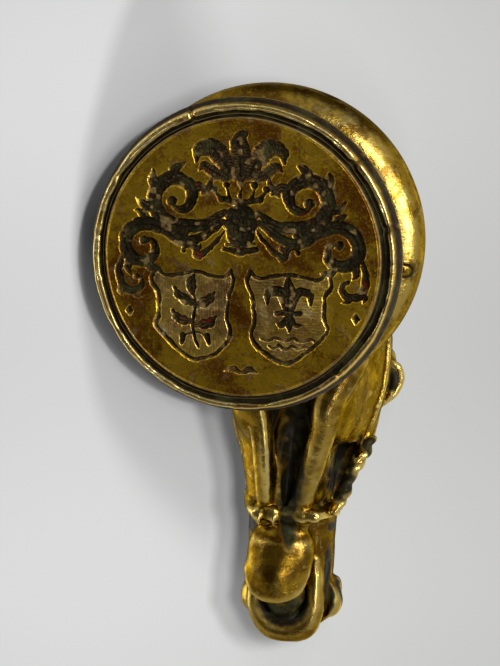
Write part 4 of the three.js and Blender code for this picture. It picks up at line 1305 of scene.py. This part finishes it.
def carve_skull(s):
    """Skull and neck, the cheeks, the jaw's two branches and the hollows beside them."""
    s.skull()
    s.neck()
    for side in (1, -1):
        s.head_ball((0.39, 0.09, -0.22), (0.064, 0.16, 0.185), side, 1.2)
    s.head_ball((0.6, 0.004, -0.268), (0.066, 0.155, 0.046), 1, 0.9)
    for side in (1, -1):
        s.head_bar(JAWS[side], JAW_RADII[side], side, 0.5)
    s.head_bar([(0.43, 0.055, -0.388), (0.5, 0.05, -0.366), (0.58, 0.048, -0.342), (0.66, 0.048, -0.312)],
               [0.006, 0.012, 0.012, 0.006], 1, 0.3)
    s.head_bar([(0.4, -0.01, -0.35), (0.48, -0.012, -0.338), (0.58, 0.0, -0.312), (0.67, 0.008, -0.29)],
               [0.034, 0.03, 0.02, 0.01], 1, 0.5, away=True)
    for side, share, aside in ((1, 0.3, 0.02), (-1, 1, 0)):
        for v in (-0.305, -0.27, -0.235, -0.2):
            s.head_bar([(0.564, 0.11 + aside, v), (0.62, 0.1 + aside, v), (0.68, 0.083 + aside, v)],
                       np.array([0.029, 0.025, 0.014]) * share, side, 0.12, away=True)
    for side in (1, -1):
        s.head_bar([(0.35, 0.13, -0.03), (0.4, 0.16, -0.026), (0.46, 0.17, -0.042), (0.51, 0.142, -0.075)],
                   [0.012, 0.026, 0.022, 0.01], side, 0.7)
        s.head_bar([(0.46, 0.152, -0.125), (0.54, 0.14, -0.145), (0.64, 0.112, -0.155)],
                   [0.02, 0.022, 0.012], side, 0.9)
        s.head_bar([(0.3, 0.15, -0.04), (0.34, 0.158, -0.05), (0.375, 0.16, -0.055)],
                   [0.01, 0.018, 0.008], side, 0.9, away=True)
        s.head_bar([(0.52, 0.12, -0.07), (0.6, 0.1, -0.1), (0.7, 0.085, -0.115), (0.82, 0.085, -0.125)],
                   [0.01, 0.014, 0.012, 0.008], side, 1.2, away=True)


def carve_eyes(s):
    """A bulging eye in its socket, between two lids, with a crease above."""
    for side in (1, -1):
        s.head_ball((0.44, 0.166, -0.08), (0.034, 0.05, 0.034), side, 0.6)
        s.head_ball((0.44, 0.192, -0.082), (0.022, 0.04, 0.02), side, 0.2, away=True)
        s.head_ball((0.442, 0.168, -0.081), (0.03, 0.031, 0.024), side, 0.08)
        s.head_bar(UPPER_LID, [0.006, 0.011, 0.012, 0.01, 0.005], side, 0.25)
        s.head_bar(LOWER_LID, [0.005, 0.009, 0.009, 0.008, 0.005], side, 0.25)
        s.head_bar(LID_CREASE, [0.004, 0.007, 0.007, 0.003], side, 0.25, away=True)


def carve_muzzle(s):
    """Nostrils, lip and chin, and the open mouth with a small tongue."""
    for side in (1, -1):
        lean = 0.005 * side
        s.head_ball((0.926, 0.068 + lean, -0.152), (0.05, 0.044, 0.054), side, 1.2)
        rim = [(u, out + lean, v) for u, out, v in NOSTRIL_RIM]
        s.head_bar(rim, [0.011] * len(rim), side, 0.6)
        s.head_ball((0.92, 0.114 + lean, -0.138), (0.021, 0.026, 0.019), side, 0.3, away=True)
        s.head_bar([(0.92, 0.108, -0.136), (0.9, 0.078, -0.126)], [0.016, 0.008], side, 0.3, away=True)
        s.head_bar(LIP_CREASE, [0.004, 0.011, 0.014, 0.008], side, 0.4, away=True)
    s.head_ball((0.785, 0.018, -0.256), (0.072, 0.068, 0.058), 1, 0.8, full=2.4)
    s.head_ball((0.834, 0.026, -0.26), (0.058, 0.066, 0.058), 1, 1.8, full=2.15)
    s.head_bar([(0.73, -0.05, -0.296), (0.734, 0.016, -0.312), (0.73, 0.08, -0.296)],
               [0.003, 0.008, 0.003], 1, 1.0, away=True)
    s.head_bar(CHIN_RIM, [0.008, 0.012, 0.013, 0.012, 0.008], 1, 1.4)
    open_mouth(s)
    s.head_ball((0.915, 0.013, -0.226), (0.07, 0.066, 0.046), 1, 0.4, away=True)
    s.head_bar(LIP, [0.006, 0.013, 0.019, 0.023, 0.026, 0.023, 0.018, 0.011, 0.005], 1, 0.7)
    roof = [(0.87, 0.016, -0.2), (0.91, 0.018, -0.204), (0.94, 0.012, -0.196)]
    s.head_bar(roof, [0.03, 0.04, 0.03], 1, 0.5)
    tongue = [(0.86, -0.012, -0.226), (0.9, -0.01, -0.226), (0.925, -0.002, -0.224)]
    s.head_bar(tongue, [0.02, 0.024, 0.014], 1, 0.5)


def open_mouth(s):
    """Cuts the gap between the lips, from their corners forwards."""
    low, high = on_head((1.1, -0.2, -0.34)), on_head((0.72, 0.25, -0.12))
    cut, x, y, z = s.window(np.minimum(low, high), np.maximum(low, high))
    u, v = head_place(y, z)
    line = np.interp(u, [0.8, 1.15], [-0.236, -0.262])
    half = np.interp(u, [0.79, 1.15], [0.3, 0.75])
    gap = smooth_max(np.abs(v - line) * HEAD_LENGTH - half, (0.795 - u) * HEAD_LENGTH, 0.8)
    gap = np.broadcast_to(gap, s.field[cut].shape)
    s.put(cut, gap.astype(np.float32), 0.45, away=True)


def neck_surface(t, turn, side, lift=0.0):
    """A place on the neck at a share of its height, turned from its back (0) to its side (1)."""
    front, back, width = neck_section(t)
    angle = math.pi / 2 - turn * math.pi / 2
    y = (front + back) / 2 + ((back - front) / 2 + lift) * math.sin(angle)
    return np.array([side * (width + lift) * math.cos(angle), y, BASE_TOP + t * POLL_HEIGHT])


def carve_mane(s, rng):
    """A crest down the neck, five locks on each side in four strands, and notches across the crest."""
    crest = [neck_surface(t, 0, 1) for t in (0.97, 0.84, 0.7, 0.55, 0.4, 0.25, 0.1)]
    s.bar(crest, np.array([0.7, 0.95, 1, 1, 1, 0.9, 0.6]) * MANE_RADIUS, 0.6)
    for lock in range(MANE_LOCKS):
        start = 0.9 - 0.165 * lock
        for side in (1, -1):
            for strand in range(LOCK_STRANDS):
                spread = (strand - 1.5) * 0.034
                points = []
                for turn, drop in ((0, 0), (0.2, 0.03), (0.4, 0.09), (0.6, 0.17), (0.78, 0.23)):
                    place = start - drop + spread * (1 - 0.75 * turn) + 0.006 * rng.normal()
                    swing = turn * (1 - 0.05 * abs(strand - 1.5)) + 0.004 * rng.normal()
                    points.append(neck_surface(max(place, 0.06), swing, side, 0.12))
                s.bar(points, np.array([0.5, 0.66, 0.6, 0.5, 0.16]), 0.18)
    for row in range(CREST_NOTCHES):
        t = 0.95 - 0.033 * row
        points = [neck_surface(max(t + 0.012 * side, 0.07), 0.22 * abs(side), np.sign(side) or 1, 1.35)
                  for side in (-1, -0.5, 0, 0.5, 1)]
        s.bar(points, [0.1, 0.16, 0.18, 0.16, 0.1], 0.15, away=True)


# The ears lie back. Their middle lines and the hollows' are rows of back, out and up, as shares
# of an ear's length from its root.
EAR_LINE = [(0, 0, 0), (0.3, 0.06, 0.1), (0.7, 0.16, 0.22), (1, 0.2, 0.24)]
EAR_HOLLOW = [(0.16, 0.23, 0.07), (0.4, 0.29, 0.15), (0.72, 0.37, 0.24), (0.88, 0.39, 0.26)]


def carve_ears(s):
    """The ears, and the forelock in five strands between them."""
    for side in (1, -1):
        root = on_head((0.035, 0.07, -0.01), side)
        ear, hollow = (
            [root + np.array([side * out, back, up]) * EAR_LENGTH for back, out, up in rows]
            for rows in (EAR_LINE, EAR_HOLLOW)
        )
        s.bar(ear, np.array([1, 1.1, 0.75, 0.15]) * EAR_RADIUS, 0.8)
        s.bar(hollow, np.array([0.45, 0.62, 0.4, 0.1]) * EAR_RADIUS, 0.3, away=True)
    for strand in range(FORELOCK_STRANDS):
        aside = (strand - 2) * 0.014
        points = [
            (-0.02, aside * 0.8, -0.004), (0.08, aside * 1.4, 0.015), (0.18, aside * 1.3 + 0.006, 0.025),
            (0.27 - 0.012 * abs(strand - 2), aside * 0.5 - 0.01, 0.018),
        ]
        s.bar(path_on_head(points), np.array([0.9, 1.0, 0.85, 0.25]) * 0.62, 0.16)


def carve_bridle(s):
    """Browband, cheek straps, noseband with its lumps and keepers, twisted cords and round bosses."""
    s.strap(smooth_curve(path_on_head(BROWBAND), 40), 0.75, 0.35)
    for side in (1, -1):
        s.strap(smooth_curve(path_on_head(CHEEK_STRAPS[side], side), 40), STRAP_HALF_WIDTH, 0.42)
    s.bar(path_on_head(NOSEBAND), [0.3] * len(NOSEBAND), 0.6)
    s.strap(smooth_curve(path_on_head(NOSEBAND), 80), 1.3 * STRAP_HALF_WIDTH, 0.3)
    for aside, size in ((-0.03, 0.016), (0.0, 0.019), (0.034, 0.017), (0.066, 0.014), (-0.056, 0.014)):
        s.head_ball((0.69, aside, -0.31), (0.016, size, 0.008), 1, 0.35)
    for side in (1, -1):
        s.twist(smooth_curve(path_on_head(CORDS[side], side), 30), CORD_RADIUS, 3.6)
        boss = s.snap(on_head((0.14, 0.138, -0.07), side)[None])[0]
        out = s.slope(boss[None])[0]
        s.ball(boss + out * 0.1, (1.25, 1.9, 1.9), 0.15)
        for petal in range(BOSS_PETALS):
            angle = petal * 2 * math.pi / BOSS_PETALS
            spot = boss + out * 0.85 + np.array([0, math.cos(angle), math.sin(angle)]) * 1.15
            s.ball(spot, (0.5, 0.34, 0.34), 0.08)
        s.ball(boss + out * 1.25, (0.4, 0.5, 0.5), 0.1)
    for aside in (0.03, 0.062):
        keeper = path_on_head([(u, aside, v) for u, v in KEEPER])
        s.bar(keeper, [0.1, 0.16, 0.16, 0.1], 0.12)


def finish_field(s):
    """Tool marks, the flat under the neck, the hole for the stud, and the frame's own limits."""
    cut, x, y, z = s.everywhere()
    axes = np.broadcast_arrays(x, y, z)
    near = np.abs(s.field) < 1.2
    places = [axis[near] for axis in axes]
    rough = 0.07 * lattice_noise(places, 2.6, 41) + 0.035 * lattice_noise(places, 0.9, 42)
    s.field[near] += rough.astype(np.float32)
    s.field[:] = smooth_max(s.field, np.broadcast_to(BASE_TOP - z, s.field.shape), 0.0)
    hole = np.maximum(np.hypot(x, y) - STUD_HOLE_RADIUS, z - BASE_TOP - STUD_HOLE_DEPTH)
    s.field[:] = np.maximum(s.field, -hole)
    outside = np.maximum(cad_low[1] / MM - y, z - cad_high[2] / MM) + 0.02
    s.field[:] = np.maximum(s.field, outside)


# Thick dirt, and painted shade in recesses, beside the nostrils and under the noseband, as a middle, three
# radii, and 1 for one side or 2 for both
DIRT_AND_SHADE_SPOTS = [
    ((0.62, -0.1, -0.23), (0.04, 0.065, 0.075), 1), ((0.92, 0.013, -0.21), (0.08, 0.072, 0.055), 1),
    ((0.91, 0.104, -0.15), (0.032, 0.035, 0.032), 2), ((0.5, -0.008, -0.33), (0.046, 0.2, 0.05), 1),
    ((0.65, 0.01, -0.285), (0.03, 0.07, 0.03), 1), ((0.87, 0.085, -0.2), (0.022, 0.1, 0.02), 2),
    ((0.42, 0.19, -0.115), (0.025, 0.045, 0.014), 2),
    ((0.745, 0.1, -0.22), (0.03, 0.02, 0.06), 2), ((0.56, -0.165, -0.21), (0.03, 0.05, 0.016), 1),
    ((0.676, 0.0, -0.3), (0.024, 0.12, 0.035), 1),
]


def dirt_and_shade_spots(points):
    """Where thick dirt and painted shade sit on the head, from 0 to 1."""
    total = np.zeros(len(points))
    for share, radii, sides in DIRT_AND_SHADE_SPOTS:
        for side in (1, -1)[:sides]:
            away = (points - on_head(share, side)) / (np.array(radii) * HEAD_LENGTH)
            total = np.maximum(total, smooth_step(1.15, 0.6, np.linalg.norm(away, axis=1)))
    patchy = 0.6 * lattice_noise(points.T, 1.1, 51) + 0.4 * lattice_noise(points.T, 0.5, 52)
    return total * np.clip(0.85 + 0.6 * patchy, 0, 1)


def make_head():
    s = Sculpt(*HEAD_BOX, HEAD_STEP)
    carve_skull(s)
    carve_eyes(s)
    carve_muzzle(s)
    carve_mane(s, np.random.default_rng(RANDOM_SEED))
    carve_ears(s)
    carve_bridle(s)
    finish_field(s)
    points, faces = skin_of(s)
    fine = -s.sample(points, s.blurred(0.45)) / 0.3
    middle = -s.sample(points, s.blurred(1.0)) / 0.75
    broad = -s.sample(points, s.blurred(2.2)) / 1.6
    hollow = np.maximum(smooth_step(0.1, 0.75, fine), smooth_step(0.15, 0.8, middle))
    wide = smooth_step(0.1, 0.8, broad)
    edge = smooth_step(0.1, 0.55, -fine) * (1 - wide)
    # Thick dirt in the broad hollows, and the listed spots of dirt and painted shade.
    dirt_and_shade = np.maximum(smooth_step(1.0, 1.5, broad), dirt_and_shade_spots(points))
    tones = np.stack([hollow, wide, edge * (1 - dirt_and_shade), dirt_and_shade], 1)
    head = mesh_object("horse_head", points, faces, tones)
    head.data.materials.append(CAST_BRASS)
    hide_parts("horse_head_handle")
    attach(head, "root")


def dress_stud():
    stud = bpy.data.objects["tang_stud"]
    stud.data.materials.clear()
    stud.data.materials.append(IRON)


# Stage: a pale floor, a pale card behind the object, and soft lamps

def plane(name, centre, across, up, material):
    """A flat card from its middle and its two half extents, in millimetres."""
    centre, across, up = (np.array(v, float) for v in (centre, across, up))
    points = [centre - across - up, centre + across - up, centre + across + up, centre - across + up]
    card = mesh_object(name, points, np.array([[0, 1, 2, 3]]))
    card.data.materials.append(material)
    return card


def hide_from(card, *rays):
    for kind in rays:
        setattr(card, "visible_" + kind, False)


def paper_material(name, left, right, edges_mm, middle_mm, reach_mm):
    """Paper with painted shade: it grows darker between two places along x, and a little darker near one
    along y.
    """
    s = Shades(name)
    across, along_y, _ = s.node("SeparateXYZ", Vector=s.place).outputs
    share = s.spread(across, edges_mm[0] * MM, edges_mm[1] * MM)
    tone = s.mix(share, (right, right, right * 0.985, 1), (left, left, left, 1))
    away = s.math("ABSOLUTE", s.math("SUBTRACT", along_y, middle_mm * MM))
    shade = s.spread(away, 0.0, reach_mm * MM, PAPER_PAINTED_SHADE_ROW, 0.0)
    s.give(Base_Color=s.mix(shade, tone, (0, 0, 0, 1)), Roughness=0.9, Specular_IOR_Level=0.0)
    return s.material


def card_material(name, *colour, one_sided):
    s = Shades(name)
    faded = [c * 0.985 for c in colour]
    tone = s.mix(s.spread(s.noise(9.0, 2.0), 0.3, 0.7), (*colour, 1), (*faded, 1))
    s.give(Base_Color=tone, Roughness=0.9, Specular_IOR_Level=0.1)
    if one_sided:
        back = s.node("NewGeometry").outputs["Backfacing"]
        clear = s.node("BsdfTransparent").outputs["BSDF"]
        surface = s.fill(s.node("MixShader"), back, s.shader.outputs["BSDF"], clear)
        s.join(surface, s.output.inputs["Surface"])
    return s.material


def make_world():
    """A pale room, a little lighter where it is seen than where it only gives light."""
    world = bpy.data.worlds.new("pale_room")
    bpy.context.scene.world = world
    n = Nodes(world)
    seen = n.node("Background", Color=(0.59, 0.59, 0.58, 1)).outputs[0]
    light = n.node("Background", Color=(0.5, 0.5, 0.5, 1)).outputs[0]
    rays = n.node("LightPath").outputs
    direct = n.math("MAXIMUM", rays["Is Camera Ray"], rays["Is Glossy Ray"])
    direct = n.math("MAXIMUM", direct, rays["Is Transmission Ray"])
    n.node("OutputWorld", Surface=n.fill(n.node("MixShader"), direct, light, seen))


def beside_camera(right, up):
    """A place level with the camera, in millimetres."""
    turn, place = camera_axes()
    return place + right * turn[0] - up * turn[1]


def light_only(thing, receivers, blockers=()):
    """Has a lamp light only some objects, with only some of the others casting its shadow."""
    linking = thing.light_linking
    linking.receiver_collection = bpy.data.collections.new(thing.name + "_lights")
    for name in receivers:
        linking.receiver_collection.objects.link(bpy.data.objects[name])
    if blockers:
        linking.blocker_collection = bpy.data.collections.new(thing.name + "_shadows")
        for name in blockers:
            linking.blocker_collection.objects.link(bpy.data.objects[name])


def light_all_but(thing, names):
    group = bpy.data.collections.new(thing.name + "_skips")
    thing.light_linking.receiver_collection = group
    for name in names:
        group.objects.link(bpy.data.objects[name])
    for entry in group.collection_objects:
        entry.light_linking.link_state = "EXCLUDE"


def lamp(name, place, target, watts, size_mm):
    data = bpy.data.lights.new(name, "AREA")
    data.energy = watts
    data.size = size_mm * MM
    thing = bpy.data.objects.new(name, data)
    thing.location = Vector(place) * MM
    way = (Vector(target) - Vector(place)).normalized()
    thing.rotation_euler = way.to_track_quat("-Z", "Y").to_euler()
    bpy.context.scene.collection.objects.link(thing)
    return thing


def sun(name, towards, strength, spread_degrees):
    """Even light from a direction, given as the way towards its source."""
    data = bpy.data.lights.new(name, "SUN")
    data.energy = strength
    data.angle = math.radians(spread_degrees)
    thing = bpy.data.objects.new(name, data)
    thing.rotation_euler = Vector(towards).to_track_quat("Z", "Y").to_euler()
    bpy.context.scene.collection.objects.link(thing)


# Lamps as name, place, target, watts and size
LAMPS = [
    ("key", (-150, 70, -110), (0, -18, 20), 0.1, 140),
    ("side", (170, -60, 75), (0, -18, 20), 0.1, 120),
    ("window_top", (-232, 144, -292), (0, 0, 5), 0.75, 115),
    ("window_low", (-350, 10, -180), (0, 0, 5), 0.8, 125),
    ("far_window", (324, 116, -200), (0, -10, 5), 0.2, 110),
]

# Lamps for the head alone: name, how far right of the camera and above it, watts and size
HEAD_TARGET = (0, -35, 28)
HEAD_LAMPS = [("near_window", 75, 30, 0.05, 28), ("low_window", 48, -125, 0.06, 26)]

# Cards that only reflections see: name, middle and two half extents
DARK_CARDS = [
    ("dark_card", (100, -110, -230), (210, 0, 0), (0, 230, 0)),
    ("dark_back", (30, -40, 260), (140, 0, 0), (0, 140, 0)),
    ("dark_roof", (-60, 330, 180), (200, 0, 0), (0, -100, 170)),
]

# Lamps for the paper alone, turned as the camera is: name, how far right of the camera and above
# it, width, height, share of the paper's light, and what casts its shadow
FLOOR_SIZE = 4000
PAPER_DISTANCE = 800.0
PAPER_SHADE = 0.07
PAPER_HALF = 0.55
# Painted shade on the paper: how bright its right side is beside its left, and how much darker its middle
# row is.
PAPER_PAINTED_SHADE_SIDE = 0.84
PAPER_PAINTED_SHADE_ROW = 0.13
PIECES = ["engraved_plate", "collared_base", "horse_head"]
PAPER_LAMPS = [
    ("close_shadow", 2.1, 0.0, 1.5, 2.5, 0.21, PIECES),
    ("tall_shadow", 2.0, -2.0, 1.4, 16.0, 0.13, PIECES),
    ("wide_shadow", 1.8, 0.0, 12.0, 12.0, 0.185, ["wide_flag"]),
    ("head_shadow", 5.0, 0.6, 1.6, 2.5, 0.235, ["horse_head", "round_flag"]),
]

# Flags: cards behind the object that only keep one lamp's light off the paper, as rows of the
# picture's y, its x at the flag's left and right edges, and those edges' distances
WIDE_FLAG = [
    (-60, 158, 190, 450, 210), (0, 132, 205, 450, 210), (50, 114, 218, 450, 210),
    (100, 100, 235, 480, 210), (150, 88, 250, 500, 210), (200, 81, 250, 500, 210),
    (240, 79, 250, 500, 210), (300, 82, 250, 500, 210), (350, 89, 250, 480, 210),
    (400, 100, 245, 420, 210), (440, 120, 245, 340, 210), (490, 158, 245, 260, 210),
    (550, 225, 245, 220, 210),
]
FLAG_ROWS = 60
ROUND_FLAG_DISTANCE = 400.0
ROUND_FLAG_MIDDLE = (239.0, 255.0)
ROUND_FLAG_RADIUS = 152.0


def make_flag(name, rows, material):
    """A card from rows of the picture's y, x at its two edges, and those edges' distances."""
    turn, place = camera_axes()
    points = [
        place + row[side + 2] * (pixel_ray(row[side], row[0]) @ turn)
        for side in (1, 2) for row in rows
    ]
    k = np.arange(len(rows) - 1)
    faces = np.stack([k, k + 1, k + 1 + len(rows), k + len(rows)], 1)
    flag = mesh_object(name, points, faces)
    flag.data.materials.append(material)
    hide_from(flag, "camera", "diffuse", "glossy")


def round_flag_rows():
    turns = np.radians(np.linspace(-88, 88, FLAG_ROWS))
    x, y = ROUND_FLAG_MIDDLE
    half = ROUND_FLAG_RADIUS * np.cos(turns)
    far = np.full(len(turns), ROUND_FLAG_DISTANCE)
    return np.stack([y + ROUND_FLAG_RADIUS * np.sin(turns), x - half, x + half, far, far], 1)


def make_paper():
    """A card behind the object that fills the picture; returns its middle."""
    turn, place = camera_axes()
    middle = place + PAPER_DISTANCE * turn[2]
    wide, high = np.array([IMAGE_WIDTH, IMAGE_HEIGHT]) / FOCAL_PX * PAPER_DISTANCE * PAPER_HALF
    edges = (middle[0] - wide * 0.9, middle[0] + wide * 0.9)
    dark = PAPER_SHADE * PAPER_PAINTED_SHADE_SIDE
    paper = paper_material("paper_card", PAPER_SHADE, dark, edges, middle[1], high * 0.8)
    card = plane("paper_card", middle, turn[0] * wide, -turn[1] * high, paper)
    hide_from(card, "shadow", "diffuse", "glossy")
    return middle


def make_stage():
    pale = card_material("floor_paper", 0.74, 0.74, 0.73, one_sided=True)
    floor = plane("floor", (0, 0, -0.05), (FLOOR_SIZE, 0, 0), (0, FLOOR_SIZE, 0), pale)
    hide_from(floor, "shadow", "diffuse", "glossy")
    make_world()
    dark = card_material("dark_card", 0.115, 0.105, 0.09, one_sided=False)
    for name, middle, across, up in DARK_CARDS:
        hide_from(plane(name, middle, across, up, dark), "camera", "diffuse", "shadow")
    paper_middle = make_paper()
    for row in LAMPS:
        light_all_but(lamp(*row), ["paper_card", "floor"])
    for name, right, up, watts, size_mm in HEAD_LAMPS:
        light_only(lamp(name, beside_camera(right, up), HEAD_TARGET, watts, size_mm), ["horse_head"])
    sun("sky", (-0.35, -0.3, 0.9), 0.5, 60)
    make_flag("wide_flag", smooth_curve(WIDE_FLAG, FLAG_ROWS), dark)
    make_flag("round_flag", round_flag_rows(), dark)
    for name, right, up, wide_mm, tall_mm, share, blockers in PAPER_LAMPS:
        watts = share / PAPER_SHADE * (math.pi * PAPER_DISTANCE * MM) ** 2
        thing = lamp(name, beside_camera(right, up), paper_middle, watts, wide_mm)
        thing.rotation_euler = bpy.context.scene.camera.matrix_world.to_euler()
        thing.data.shape = "RECTANGLE"
        thing.data.size_y = tall_mm * MM
        light_only(thing, ["paper_card"], blockers)


make_plate()
make_base()
make_pin()
make_head()
dress_stud()
make_stage()
